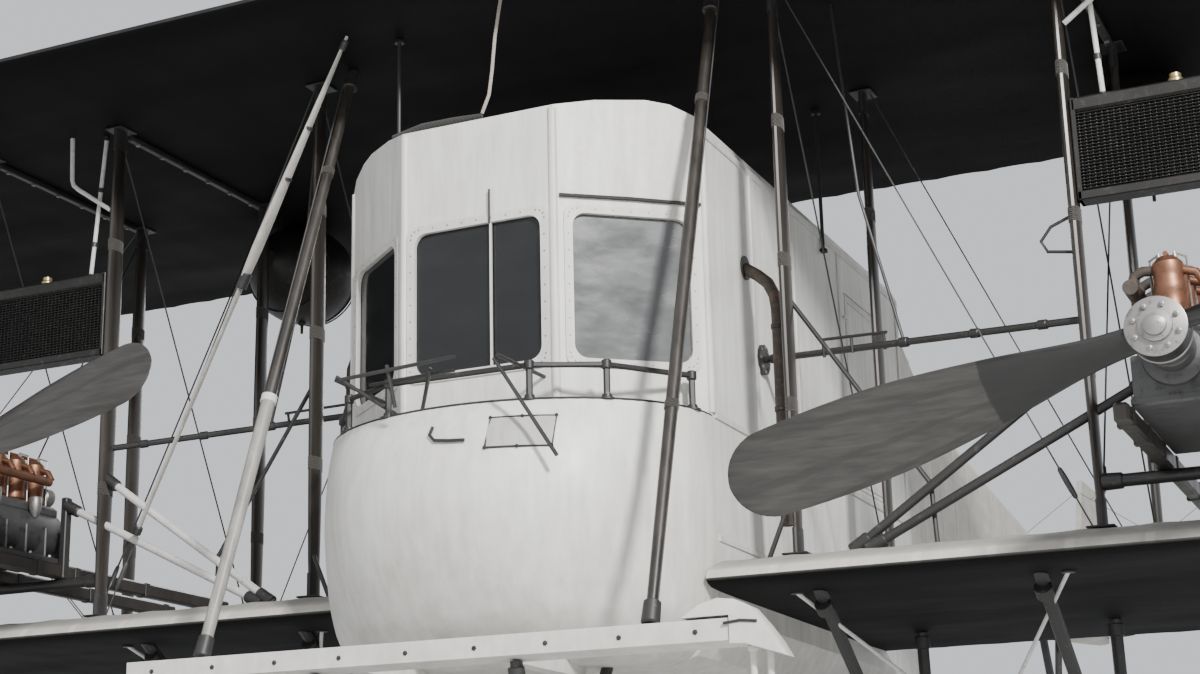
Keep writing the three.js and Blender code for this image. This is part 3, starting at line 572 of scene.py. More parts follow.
FRAME_STEEL = worn_metal("frame_enamel", (0.030, 0.029, 0.028), (0.11, 0.105, 0.10), 0.1, 0.45, 0.02)
BARE_METAL = worn_metal("bare_fittings", (0.30, 0.29, 0.275), (0.13, 0.125, 0.12), 0.75, 0.45, 0.08)
PIPE_RUST = worn_metal("exhaust_iron", (0.070, 0.060, 0.052), (0.16, 0.10, 0.065), 0.4, 0.7, 0.12)
ENGINE_IRON = worn_metal("engine_iron", (0.10, 0.10, 0.10), (0.035, 0.032, 0.030), 0.6, 0.55, 0.10)
WIRE_STEEL = worn_metal("stay_wire", (0.075, 0.074, 0.072), (0.035, 0.034, 0.033), 0.3, 0.5, 0.05)
RADIATOR_METAL = worn_metal("radiator_tin", (0.030, 0.029, 0.027), (0.065, 0.06, 0.053), 0.5, 0.5, 0.08)
COPPER = worn_metal("copper_jackets", (0.26, 0.125, 0.075), (0.10, 0.060, 0.042), 0.8, 0.45, 0.10)
BRASS = worn_metal("brass_fittings", (0.46, 0.36, 0.18), (0.24, 0.18, 0.09), 0.8, 0.35, 0.05)
TYRE = worn_metal("tyre_rubber", (0.20, 0.195, 0.185), (0.34, 0.32, 0.29), 0.0, 0.85, 0.04, 30.0)
# Pale enamel, also used as a painted highlight on the sunlit spread tubes of the starboard inner bay.
PALE_ENAMEL_AND_HIGHLIGHT = worn_metal("pale_enamel_and_highlight", (0.62, 0.61, 0.58), (0.36, 0.35, 0.33), 0.0, 0.5, 0.06)
print("metals and rubber ready")

# %% [markdown]
# Rope and canvas finish the small bound parts. Rope could be modelled as strands that twist round each
# other, but at this size its twist shows well enough as fine diagonal bands, and the same bands, darker
# and denser, read as rolled canvas.

# %% Rope and canvas
def rope(name, light, dark):
    material, tree, shader = new_finish(name, 0.9, sheen=0.2)
    bands = add_node(tree, "ShaderNodeTexWave",
                     {"Vector": place_on_piece(tree), "Scale": 26.0, "Distortion": 2.0},
                     bands_direction="DIAGONAL")
    twist = bands.outputs["Fac"]
    mixed = blend_colour(tree, maths(tree, "MULTIPLY", twist, noise(tree, 30.0)), dark, light)
    tree.links.new(mixed, shader.inputs["Base Color"])
    raise_surface(tree, shader, twist, 0.002, 0.6)
    return material


PALE_ROPE = rope("pale_rope", (0.55, 0.52, 0.45), (0.30, 0.27, 0.22))
DARK_CORD = rope("dark_cord", (0.085, 0.075, 0.062), (0.035, 0.031, 0.027))
DARK_CANVAS = rope("dark_canvas", (0.055, 0.052, 0.047), (0.025, 0.024, 0.022))
print("rope and canvas ready")

# %% [markdown]
# The panes are thin sheets. Their dark tint is painted shade of the cabin behind them, and the port quarter
# pane is coloured greyer as a painted reflection of the sky. Plain transparency would lose the reflections.
# Transmission with a tint keeps them see-through and shiny, and a wipe of dust raises their roughness in soft
# patches.

# %% Panes
def pane_glass(name, colour, through, low, high):
    material, tree, shader = new_finish(name)
    shader.inputs["Transmission Weight"].default_value = through
    shader.inputs["IOR"].default_value = 1.45
    wipe = noise(tree, 3.0, (1.0, 1.0, 2.5), 5.0)
    dusty = tuple(min(1.0, 1.35 * v) for v in colour)
    wiped = blend_colour(tree, remap(tree, wipe, 0.35, 0.75), colour, dusty)
    tree.links.new(wiped, shader.inputs["Base Color"])
    tree.links.new(remap(tree, wipe, 0.35, 0.7, low, high), shader.inputs["Roughness"])
    return material


# Painted shade in the dark tint, and a painted reflection of the sky in the grey port pane.
DARK_PANE = pane_glass("dark_pane", (0.065, 0.067, 0.069), 0.8, 0.05, 0.18)
GREY_PANE = pane_glass("grey_pane", (0.125, 0.127, 0.127), 0.25, 0.14, 0.34)
print("panes:", DARK_PANE.name, GREY_PANE.name)

# %% [markdown]
# The camera stands almost on the ground, a little to the port side ahead of the nose, and looks up. It
# could be set by eye, but then no edge would lie quite where it should. Its place, turn and lens were
# found by matching the corners of the solids with the picture.

# %% Camera
CAMERA_PLACE = at(4.854, -9.33, 0.3602)
CAMERA_YAW = 0.4692
CAMERA_PITCH = 0.2714
CAMERA_ROLL = -0.0095
ahead = Vector((-math.sin(CAMERA_YAW) * math.cos(CAMERA_PITCH),
                math.cos(CAMERA_YAW) * math.cos(CAMERA_PITCH), math.sin(CAMERA_PITCH)))
level = Vector((math.cos(CAMERA_YAW), math.sin(CAMERA_YAW), 0))
upright = level.cross(ahead)
right = level * math.cos(CAMERA_ROLL) + upright * math.sin(CAMERA_ROLL)
up = upright * math.cos(CAMERA_ROLL) - level * math.sin(CAMERA_ROLL)
camera = bpy.data.objects.new("camera", bpy.data.cameras.new("camera"))
camera.matrix_world = Matrix.Translation(CAMERA_PLACE) @ Matrix((right, up, -ahead)).transposed().to_4x4()
camera.data.lens = 60.76
camera.data.sensor_width = 36
camera.data.shift_x = 0.0848
camera.data.shift_y = 0.0054
camera.data.clip_end = 400
bpy.context.scene.collection.objects.link(camera)
bpy.context.scene.camera = camera
print("camera at", [round(v, 2) for v in camera.location], "lens", camera.data.lens)

# %% [markdown]
# The aircraft stands on open ground. A modelled field would draw the eye away from it, so the floor is a
# plain pale sheet that also throws some light back up under the wings. It isn't part of the aircraft and
# is declared as stage further down, together with the lamps.

# %% Floor
FLOOR_HALF = 150


def flat_sheet(name, size, z, material):
    mesh = bpy.data.meshes.new(name)
    mesh.from_pydata([(-size, -size, z), (size, -size, z), (size, size, z), (-size, size, z)], [],
                     [(0, 1, 2, 3)])
    mesh.materials.append(material)
    sheet = bpy.data.objects.new(name, mesh)
    bpy.context.scene.collection.objects.link(sheet)
    return sheet


floor_material, floor_tree, floor_shader = new_finish("floor_pale", 0.85)
sand = blend_colour(floor_tree, noise(floor_tree, 0.3), (0.66, 0.66, 0.65), (0.72, 0.72, 0.71))
floor_tree.links.new(sand, floor_shader.inputs["Base Color"])
floor = flat_sheet("studio_floor", FLOOR_HALF, -0.002, floor_material)
print("floor", 2 * FLOOR_HALF, "m wide")

# %% [markdown]
# The light is that of a bright hazy day: a strong soft lamp from the port side ahead, where the sun
# stood, a weak wide one in front, one behind, and an even pale world. Lamps could be suns, but area
# lamps soften with distance, which suits haze.

# %% Lights and world
def area_light(name, place, target, size, power):
    light = bpy.data.lights.new(name, "AREA")
    light.shape = "RECTANGLE"
    light.size, light.size_y = size
    light.energy = power
    lamp = bpy.data.objects.new(name, light)
    lamp.location = place
    lamp.rotation_mode = "QUATERNION"
    lamp.rotation_quaternion = (Vector(target) - Vector(place)).to_track_quat("-Z", "Y")
    bpy.context.scene.collection.objects.link(lamp)
    return lamp


lamps = [area_light("sun_port_front", at(14.5, -13.5, 12.5), at(0.4, 0, 3), (2.2, 2.2), 7600),
         area_light("sky_front", at(2, -20, 15), at(0, 0, 3), (14, 10), 500),
         area_light("sky_back", at(-8, 26, 14), at(0, 6, 3), (14, 10), 1600)]
world = bpy.data.worlds.new("studio_air")
world.use_nodes = True
world.node_tree.nodes["Background"].inputs["Color"].default_value = (0.93, 0.95, 1.0, 1)
world.node_tree.nodes["Background"].inputs["Strength"].default_value = 0.85
bpy.context.scene.world = world
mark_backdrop(floor, *lamps)
print("stage objects", 1 + len(lamps))

# %% [markdown]
# Flat boards, panes and plain tubes gain nothing from a new mesh, so their solids are shown as they are
# and only need a finish. It could be set object by object. A helper that takes a material and a list of
# names does the same in one line for each trade, and no plain solid is left.

# %% Finishes for the solids that are kept
def node_object(name):
    """The mesh object of a solid, found by its name in the scene."""
    for obj in bpy.data.objects:
        if obj.type == "MESH" and obj.name.split(".")[0] == name:
            return obj
    raise KeyError(name)


def dress(material, slot_name, *names):
    """Gives solids that keep their own mesh a finish. The slot name is not used."""
    for name in names:
        solid = node_object(name)
        solid.data.materials.clear()
        solid.data.materials.append(material)
    print(material.name, "on", len(names), "solids")


dress(NOSE_PAINT, "nose_ply", "cabin_shell", "cabin_door", "lower_hull", "bow_deck")
dress(BEAM_PAINT, "nose_ply", "nose_beam")
dress(FLOOR_PLY, "inner_ply", "cabin_floor")
dress(BULKHEAD_PLY, "inner_ply", "cabin_bulkhead")
dress(DARK_PANE, "pane_dark", "windscreen_pane", "quarter_pane_starboard")
dress(GREY_PANE, "pane_grey", "quarter_pane_port")
dress(FRAME_STEEL, "frame_steel", "nose_gear_frame", "main_gear_port", "main_gear_starboard", "tail_skid",
      "control_tube_port", "control_tube_starboard", "bow_rail")

# %% [markdown]
# A wing is ribs and spars under linen. Between the ribs the linen pulls in a little and the wire at the
# trailing edge bends forward in a shallow arc. A plain extruded section would miss that. The skin is
# lofted through sections at four stations a bay, each sunk a little where it lies between two ribs.

# %% Wing sections
TOP_LINE = [(0, 45), (0.008, 78), (0.02, 102), (0.045, 136), (0.08, 172), (0.10, 184), (0.125, 186),
            (0.18, 186), (0.30, 184), (0.45, 167), (0.565, 148), (0.64, 129), (0.69, 128), (0.80, 90),
            (0.90, 54), (1.0, 14)]
LOW_LINE = [(1.0, 5), (0.90, 0), (0.70, 0), (0.45, 0), (0.25, 0), (0.10, 0), (0.06, 1), (0.025, 9),
            (0.008, 24)]
STEPS_A_BAY = 4
SAG = 0.006
SCALLOP = 0.022


def slack_at(bays):
    """How far the linen sinks at a place counted in bays: 0 on a frame line, 1 halfway between two."""
    bay = bays % 1.0
    return math.sin(math.pi * bay) ** 0.7 if 0 < bay < 1 else 0.0


def wing_stations(inner, outer, extra=()):
    """Places along the span, in even parts of a rib bay, with extra ones where a cut starts or ends."""
    first = math.ceil(inner / RIB_SPACING * STEPS_A_BAY)
    last = math.floor(outer / RIB_SPACING * STEPS_A_BAY)
    places = {round(i * RIB_SPACING / STEPS_A_BAY, 5) for i in range(first, last + 1)}
    return sorted(places | {inner, outer} | set(extra))


def wing_section(x, side, lead, chord, base, thick, cut=None):
    slack = slack_at(abs(x) / RIB_SPACING)
    ring = []
    for line, sunk in ((TOP_LINE, -SAG), (LOW_LINE, SAG * 0.7)):
        for share, height in line:
            sink = sunk * slack * (1 if 0.05 < share < 0.99 else 0)
            y = lead + share * chord - (SCALLOP * slack if share > 0.99 else 0)
            ring.append(at(side * x, min(y, cut) if cut else y, base + height * thick / 1000 + sink))
    return ring


print("wing section of", len(TOP_LINE) + len(LOW_LINE), "points")

# %% [markdown]
# A wing tip is rounded in plan, and the upper wing has a long notch at the rear that the aileron fills. A
# boolean could cut the notch, but may leave ragged faces. Here the sections in the notch end at the cut,
# and those at both of its ends are doubled, so that its edges stay square.

# %% Rounded tips and aileron cut
AILERON = {"from": 12.1, "to": 16.3, "hinge": 3.85, "radius": 0.038, "gap": 0.008}
TIP_LENGTH = 0.70


def tip_shape(x, half, lead, chord):
    """Leading edge, chord and thickness near the rounded tip."""
    t = max(0.0, (x - (half - TIP_LENGTH)) / TIP_LENGTH)
    swing = t ** 2.4
    return lead + 0.56 * swing, chord - 0.90 * swing, 1 - 0.6 * swing


def upper_rings(side):
    cut_from, cut_to = AILERON["from"] - AILERON["gap"], AILERON["to"] + AILERON["gap"]
    cut_y = UPPER_LEAD + AILERON["hinge"] - AILERON["radius"] - AILERON["gap"]
    rings = []
    for x in wing_stations(CENTRE_HALF, UPPER_HALF, (cut_from, cut_to)):
        lead, chord, thick = tip_shape(x, UPPER_HALF, UPPER_LEAD, UPPER_CHORD)
        whole = wing_section(x, side, lead, chord, UPPER_Z, thick * UPPER_THICK)
        short = wing_section(x, side, lead, chord, UPPER_Z, thick * UPPER_THICK, cut_y)
        if x == cut_from:
            rings += [whole, short]
        elif x == cut_to:
            rings += [short, whole]
        else:
            rings.append(short if cut_from < x < cut_to else whole)
    return rings


def lower_rings(side):
    rings = []
    for x in wing_stations(HULL_HALF + SEAM, LOWER_HALF):
        lead, chord, thick = tip_shape(x, LOWER_HALF, LOWER_LEAD, LOWER_CHORD)
        rings.append(wing_section(x, side, lead, chord, LOWER_Z, thick))
    return rings


print("aileron cut from", AILERON["from"], "to", AILERON["to"], "m out")

# %% [markdown]
# The upper wing is three pieces that join over the cabin, the lower one two that stand off the hull. A
# modifier could mirror one half, but a loop over both sides gives each piece a name and a mesh of its own.

# %% Wing skins
for side_name, side in SIDES.items():
    upper = Shape()
    upper.loft(upper_rings(side))
    build(upper, f"upper_wing_skin_{side_name}", [SHADE_DARK_LINEN], replaces=[f"upper_wing_{side_name}"])
    lower = Shape()
    lower.loft(lower_rings(side))
    build(lower, f"lower_wing_skin_{side_name}", [PALE_LINEN], replaces=[f"lower_wing_{side_name}"])
centre = Shape()
half_places = wing_stations(0.0, CENTRE_HALF - SEAM)
centre.loft([wing_section(abs(x), 1 if x >= 0 else -1, UPPER_LEAD, UPPER_CHORD, UPPER_Z, UPPER_THICK)
             for x in [-x for x in reversed(half_places)] + half_places[1:]])
build(centre, "upper_wing_skin_centre", [SHADE_DARK_LINEN], replaces=["upper_wing_centre"])

# %% [markdown]
# The ailerons swing on pins behind the rear spar. They could be modelled anew, but the moving solids
# already have the right notches and pins, so they keep their mesh, and the skins need only the plates
# that reach back to each pin.

# %% Aileron hinge plates
plates = Shape()
for side in SIDES.values():
    for x in (12.4, 14.2, 16.0):
        low = at(side * x - 0.006, UPPER_LEAD + AILERON["hinge"] - 0.08, UPPER_Z + 0.024)
        high = at(side * x + 0.006, UPPER_LEAD + AILERON["hinge"] + 0.010, UPPER_Z + 0.060)
        plates.block(low, high, edge=0.002)
build(plates, "aileron_hinge_plates", [FRAME_STEEL])
TAIL_PLACES = ("port", "centre", "starboard")
dress(SHADE_DARK_LINEN, "dark_fabric", "aileron_port", "aileron_starboard")
dress(TAIL_LINEN, "pale_fabric", "tailplane", "elevator")
dress(BODY_LINEN, "pale_fabric", *[f"{kind}_{place}" for kind in ("fin", "rudder") for place in TAIL_PLACES])
print("moving surfaces dressed")

# %% [markdown]
# The bow tub is a bowl of moulded plywood, round like the stem of a boat. It could be a subdivided cage,
# but a table of half widths and reaches, taken from the solid and smoothed between its levels, keeps the
# curve under control at the rim.

# %% Smooth tables
def smooth_between(rows, value):
    """Reads rows that start with their place, on a smooth curve through them."""
    last = len(rows) - 1
    i = max(1, min(last, next((k for k, r in enumerate(rows) if r[0] >= value), last)))
    a, b = rows[i - 1], rows[i]
    before = rows[max(0, i - 2)]
    after = rows[min(last, i + 1)]
    span = b[0] - a[0]
    t = min(1.0, max(0.0, (value - a[0]) / span))
    h = (2 * t ** 3 - 3 * t ** 2 + 1, t ** 3 - 2 * t ** 2 + t, -2 * t ** 3 + 3 * t ** 2, t ** 3 - t ** 2)
    result = []
    for k in range(1, len(a)):
        slope_a = (b[k] - before[k]) / (b[0] - before[0]) * span
        slope_b = (after[k] - a[k]) / (after[0] - a[0]) * span
        result.append(h[0] * a[k] + h[1] * slope_a + h[2] * b[k] + h[3] * slope_b)
    return result


print("smooth tables ready")

# %% [markdown]
# With that curve the tub is a stack of half ellipses. A solidify modifier could thicken them, but an inner
# line that runs back along the outer one gives an even wall with a flat rim. The lowest rings lie close
# together, where the sides turn under to the flat bottom of the hull.

# %% Bow tub
BOW_LEVELS = [(1.55, 0.80, 0.06), (1.61, 0.96, -0.09), (1.81, 1.09, -0.30), (2.30, 1.12, -0.49),
              (2.66, 1.12, -0.44), (2.87, 1.12, -0.32)]
TUB_WALL = 0.05
TURN_TOP = 1.61


def tub_line(z, inset=0.0, count=48):
    """Half ellipse of the tub at one height, from port to starboard."""
    half, front = smooth_between(BOW_LEVELS, z)
    half = min(half, HULL_HALF)
    back = QUARTER_Y - 0.0005
    return [at(math.cos(t) * (half - inset), back - math.sin(t) * (QUARTER_Y - front - inset), z)
            for t in [math.pi * i / count for i in range(count + 1)]]


tub = Shape()
tub_heights = [HULL_BOTTOM + 0.06 * (i / 6) ** 1.5 for i in range(7)]
tub_heights += [TURN_TOP + (RIM_Z - TURN_TOP) * i / 26 for i in range(1, 27)]
tub.loft([tub_line(z) + tub_line(z, TUB_WALL)[::-1] for z in tub_heights])
tub.loft([tub_line(z, 0.02) for z in (1.5504, 1.60)])
build(tub, "bow_tub_skin", [NOSE_PAINT], replaces=["bow_tub"])

# %% [markdown]
# A dark tube binds the rim of the tub, and a low rail of rods stands on it. Where the rods meet a post,
# a clamp collar holds them. A bevelled curve would make the tube too. Here it follows the same line that
# made the tub, so that it can't part from the rim, and the collars are small turned forms.

# %% Rim tube and rail clamps
rim = Shape()
rim_line = [p + Vector((0, 0, 0.004)) for p in tub_line(RIM_Z - 0.004, 0.012, 40)]
rim.tube(rim_line, 0.013, 8)
post_line = tub_line(RIM_Z, TUB_WALL / 2, 16)
for index in (1, 4, 6, 10, 12, 15):
    foot = post_line[index]
    rim.turned(foot, UP, [(0.0, 0.045), (0.008, 0.045), (0.010, 0.030), (0.030, 0.026)], 16)
    clamp = [(0, 0.020), (0.006, 0.027), (0.044, 0.027), (0.050, 0.020)]
    rim.turned(foot + Vector((0, 0, 0.165)), UP, clamp, 16)
build(rim, "bow_rim_tube", [FRAME_STEEL])

# %% [markdown]
# A propeller blade twists from steep at the hub to flat at the tip and is widest past its middle. A plank
# with a twist modifier would turn evenly, which a real blade doesn't. Sections set along the radius, each
# with its own width, thickness and pitch, give that form exactly when a skin is laid over them.

# %% Propeller blade
BLADE = [(0.06, 0.130, 0.090, 50), (0.30, 0.170, 0.070, 46), (0.70, 0.300, 0.048, 36),
         (1.15, 0.400, 0.036, 26), (1.50, 0.420, 0.028, 20), (1.80, 0.405, 0.021, 16),
         (2.02, 0.40, 0.010, 14)]
TIP_FROM, TIP_REACH = 1.80, 0.22
BLADE_STATIONS = [0.06 + 0.0533 * i for i in range(33)]
BLADE_STATIONS += [TIP_FROM + TIP_REACH * math.sin(math.pi / 2 * i / 10) for i in range(1, 11)]


def blade_ring(r, count=20):
    chord, thick, pitch = smooth_between(BLADE, r)
    if r > TIP_FROM:
        chord *= math.sqrt(max(0.004, 1 - ((r - TIP_FROM) / TIP_REACH) ** 2))
    turn = math.radians(pitch)
    ring = []
    for t in turns(count):
        a = -0.5 * math.cos(t) * chord
        b = math.sin(t) * (0.48 if math.sin(t) < 0 else 0.28) * thick
        across = a * math.sin(turn) + b * math.cos(turn)
        ring.append(Vector((r, across, a * math.cos(turn) - b * math.sin(turn))))
    return ring


print("blade of", len(BLADE_STATIONS), "sections")

# %% [markdown]
# Blades and hub are one piece that spins. The hub is turned: a wooden boss, steel plates in front and
# behind, a ring of bolts and the nut. It could be built in place, but round the origin mirroring a blade is
# only a change of sign, so it is made there, then turned to its rest angle and set on its shaft.

# %% Propellers
PROPELLER_ANGLE = {"inner_port": 194, "inner_starboard": 16, "outer_port": 150, "outer_starboard": 40}
MIDDLE = (0, 0, 0)


def add_hub(screw):
    """Wooden boss, steel plates in front and behind, a ring of bolts and the nut."""
    boss = [(-0.072, 0.118), (-0.068, 0.127), (0.056, 0.127), (0.060, 0.118)]
    screw.turned(MIDDLE, AFT, boss, 40)
    for y0, y1 in ((-0.080, -0.070), (0.058, 0.070)):
        plate = [(y0, 0.127), (y0 + 0.003, 0.132), (y1 - 0.003, 0.132), (y1, 0.127)]
        screw.turned(MIDDLE, AFT, plate, 40, 1)
    for t in turns(8, 0.2):
        centre = Vector((0.098 * math.cos(t), -0.079, 0.098 * math.sin(t)))
        screw.turned(centre, AHEAD, [(0, 0.013), (0.010, 0.013), (0.012, 0.009)], 6, 1)
        screw.turned(centre, AHEAD, [(0.010, 0.006), (0.020, 0.005)], 8, 1)
    nut = [(0.078, 0.072), (0.098, 0.070), (0.102, 0.050), (0.118, 0.048), (0.129, 0.030)]
    screw.turned(MIDDLE, AHEAD, nut, 24, 1)


for name, angle in PROPELLER_ANGLE.items():
    bay, side_name = name.split("_")
    screw = Shape()
    rings = [blade_ring(r) for r in BLADE_STATIONS]
    screw.loft(rings)
    screw.loft([[Vector((-p.x, p.y, -p.z)) for p in ring] for ring in rings])
    add_hub(screw)
    turn = Matrix.Rotation(-math.radians(angle), 4, "Y")
    hub = at(SIDES[side_name] * ENGINE_PLACES[bay], HUB[1], HUB[2])
    screw.moved(Matrix.Translation(hub) @ turn)
    solid = f"{bay}_propeller_{side_name}"
    piece = build(screw, f"{bay}_screw_{side_name}", [PROPELLER_WOOD, BARE_METAL], solid, replaces=[solid])

# %% [markdown]
# The struts between the wings are spruce, shaped like a drop in section and thinner at both ends. Steel
# sockets hold them, and cord is bound round them against splitting. A scaled cylinder would be as round
# behind as in front, so each strut is lofted from drop-shaped outlines instead.

# %% A faired strut
STRUT_CHORD = 0.075
WOOD, STEEL, CORD = 0, 1, 2


def drop_section(centre, half, chord, count=16):
    """Outline of a strut: round in front, slim behind."""
    ring = []
    for t in turns(count):
        across = half * math.sin(t) * (1 - 0.3 * (1 - math.cos(t)) / 2)
        ring.append(centre + Vector((across, -chord * math.cos(t), 0)))
    return ring


def slimness(share):
    """How wide a strut is at a share of its length, as a part of its full width."""
    return 0.62 + 0.38 * math.sin(math.pi * share) ** 0.6


def faired_strut(shape, foot, top, half, chord=STRUT_CHORD):
    rings = []
    for i in range(15):
        t = i / 14
        rings.append(drop_section(foot.lerp(top, t), half * slimness(t), chord * slimness(t)))
    shape.loft(rings, WOOD)
    for t0, t1 in ((0.0, 0.045), (0.955, 1.0)):
        slim = (slimness(max(t0, 1 - t1)) + 0.04) * 1.10
        shape.loft([drop_section(foot.lerp(top, t), half * slim, chord * slim)
                    for t in (t0, t0 + 0.003, t1 - 0.003, t1)], STEEL)
    for t in (0.25, 0.5, 0.75):
        slim = slimness(t)
        for k in range(-3, 4):
            middle = t + k * 0.0035
            shape.loft([drop_section(foot.lerp(top, middle + d), (half + g) * slim, (chord + g) * slim)
                        for d, g in ((-0.0016, 0.001), (0, 0.004), (0.0016, 0.001))], CORD)


print("strut helper ready")

# %% [markdown]
# A stay is a steel wire pulled tight by a turnbuckle, a long nut with a thread at both ends. Stays cross
# between the front and the rear strut of a pair. A curve with a bevel would make the wire too, but a thin
# six-sided tube in the same mesh keeps a strut pair one piece.

# %% Stays and strut pairs
STRUT_FEET = {"front": (FRONT_Y, LOWER_Z + 0.1863), "rear": (REAR_Y, LOWER_Z + 0.1283)}
STRUT_TOP = UPPER_Z - SEAM
TURNBUCKLE = [(0, 0.006), (0.01, 0.012), (0.05, 0.015), (0.13, 0.015), (0.17, 0.012), (0.18, 0.006)]


def stay(shape, start, end, radius=0.0055, finish=STEEL, turnbuckle=True):
    """A taut wire with a turnbuckle near its lower end."""
    start, end = Vector(start), Vector(end)
    shape.tube([start, start.lerp(end, 0.5), end], radius, 6, finish)
    if turnbuckle:
        along = (end - start).normalized()
        shape.turned(start + along * 0.16, along, TURNBUCKLE, 10, finish)


def strut_pair(shape, x, half, stays, lean=0.0):
    """Front and rear strut with their foot plates, one or two stays, and leaning struts if asked for."""
    ends = {}
    for place, (y, foot_z) in STRUT_FEET.items():
        foot, top = at(x, y, foot_z), at(x, y, STRUT_TOP)
        ends[place] = (foot, top)
        faired_strut(shape, foot, top, half)
        for end, lift in ((foot, 0.0), (top, -0.010)):
            low = end + Vector((-0.07, -0.085, lift))
            shape.block(low, low + Vector((0.14, 0.17, 0.010)), STEEL, 0.003)
        if lean:
            faired_strut(shape, foot + Vector((0, 0, 0.02)), top + Vector((lean, 0, 0)), half)
    for low_end, high_end in [("rear", "front"), ("front", "rear")][:stays]:
        foot = ends[low_end][0] + Vector((0, 0, 0.05))
        top = ends[high_end][1] - Vector((0, 0, 0.05))
        stay(shape, foot, top)


print("stay and strut pair helpers ready")

# %% [markdown]
# The innermost pairs stand beside the cabin and the outermost ones near the tip, where they also lean out
# to the longer upper wing. They could be placed one by one, but a table row for each says all that
# differs, and the loop makes both sides alike.

# %% Strut bays
STRUT_BAYS = [("inner", 1.495, 0.032, 1, 0.0), ("outer", 11.90, 0.030, 2, 2.5)]
for side_name, side in SIDES.items():
    for bay, x, half, stays, lean in STRUT_BAYS:
        pair = Shape()
        strut_pair(pair, side * x, half, stays, side * lean)
        obj = build(pair, f"{bay}_strut_pair_{side_name}", [STRUT_WOOD, FRAME_STEEL, DARK_CORD],
                    replaces=[f"{bay}_struts_{side_name}"])

# %% [markdown]
# A flat radiator hangs above each engine, between the front struts. A real one is a honeycomb of hundreds
# of small tubes. A texture could show that, but a grid of thin upright tubes between cross fins reads as
# honeycomb at this distance and stays light.

# %% Radiator
RADIATOR = {"y0": 0.70, "y1": 0.82, "z0": 3.80, "z1": 4.36}
COLUMNS, ROWS = 34, 24
TIN, CAP = 3, 4


def radiator(shape, x0, x1):
    y0, y1, z0, z1 = (RADIATOR[k] for k in ("y0", "y1", "z0", "z1"))
    shape.block(at(x0, y0, z0), at(x1, y1, z0 + 0.05), TIN, 0.006)
    shape.block(at(x0, y0, z1 - 0.08), at(x1, y1, z1), TIN, 0.012)
    shape.block(at(x0, y0, z0), at(x0 + 0.025, y1, z1), TIN, 0.005)
    shape.block(at(x1 - 0.025, y0, z0), at(x1, y1, z1), TIN, 0.005)
    for i in range(COLUMNS):
        x = x0 + 0.035 + (x1 - x0 - 0.07) * i / (COLUMNS - 1)
        for y in (y0 + 0.03, y1 - 0.03):
            shape.tube([at(x, y, z0 + 0.03), at(x, y, z1 - 0.06)], 0.006, 5, TIN)
    for k in range(ROWS):
        z = z0 + 0.06 + (z1 - z0 - 0.15) * k / (ROWS - 1)
        shape.block(at(x0 + 0.02, y0 + 0.012, z), at(x1 - 0.02, y1 - 0.012, z + 0.004), TIN, 0.001)
    filler = [(0, 0.04), (0.02, 0.04), (0.03, 0.03), (0.05, 0.03)]
    shape.turned(at((x0 + x1) / 2, (y0 + y1) / 2, z1 - 0.002), UP, filler, 20, CAP)


print("radiator of", COLUMNS, "columns and", ROWS, "fins")

# %% [markdown]
# A steel rail under the upper wing joins the tops of the struts, and two pale pipes carry the water of the
# radiator. Pipes follow short lists of points, which are easier to move than the handles of a curve.

# %% Rail and water pipes
BAY_HALF = 0.555
PALE_PIPE, BOLTS = 6, 7
BOLT_HEAD = [(0, 0.016), (0.010, 0.016), (0.014, 0.009)]


def wing_rail(shape, x):
    """The rail under the wing that joins the tops of a front and a rear strut, with its bolts."""
    shape.block(at(x - 0.022, 0.86, 5.312), at(x + 0.022, 2.39, UNDER_WING), STEEL, 0.006)
    for i in range(6):
        shape.turned(at(x, 0.95 + 0.27 * i, 5.314), DOWN, BOLT_HEAD, 6, BOLTS)


def water_pipes(shape, x, side):
    """Two pale pipes of the radiator: one straight up to the wing, one bent round to the inner strut."""
    header = at(x - side * 0.36, 0.76, RADIATOR["z1"] - 0.01)
    top = at(x - side * 0.41, 0.80, UNDER_WING - 0.001)
    shape.tube([header, header.lerp(top, 0.5), top], 0.014, 10, PALE_PIPE)
    for share in (0.0, 0.22, 0.60, 0.97):
        shape.turned(header.lerp(top, share), top - header, [(0, 0.020), (0.030, 0.020)], 12, STEEL)
    bend = [(0.185, UNDER_WING - 0.001), (0.200, 5.05), (0.215, 5.01), (0.255, 4.975)]
    path = [at(x - side * out, 0.72, z) for out, z in bend]
    path.append(at(x - side * (BAY_HALF - 0.034), 0.735, 4.79))
    shape.tube(path, 0.015, 10, PALE_PIPE)
    hook = [(0.0, 3.74), (0.10, 3.70), (0.155, 3.63), (0.125, 3.57), (0.0, 3.55)]
    strut = x - side * (BAY_HALF + 0.028)
    shape.tube([at(strut - side * out, 0.76, z) for out, z in hook], 0.009, 8, STEEL)


print("rail and pipe helpers ready")

# %% [markdown]
# The cradle is what holds the engine: two ash bearers with steel straps, a post beside each, and tubes
# that spread down to the wing with a socket at either end. The bearers are blocks with small chamfers
# rather than bare boxes, because a worn edge catches the light.

# %% Engine cradle
BEARER = {"out": 0.230, "half": 0.035, "y0": -0.40, "y1": 2.588, "z0": 2.38, "z1": 2.47}
POST = {"in": 0.230, "out": 0.275, "top": 2.90, "joint": 2.85}
TUBE_FOOT = 2.01
SOCKET_LIFT = 0.1265
SPREAD_TUBE = 5


def socket(shape, place, direction, radius=0.030):
    collar = [(0, radius * 1.15), (0.006, radius * 1.35), (0.11, radius * 1.25), (0.118, radius * 1.02)]
    shape.turned(place, direction, collar, 12, STEEL)


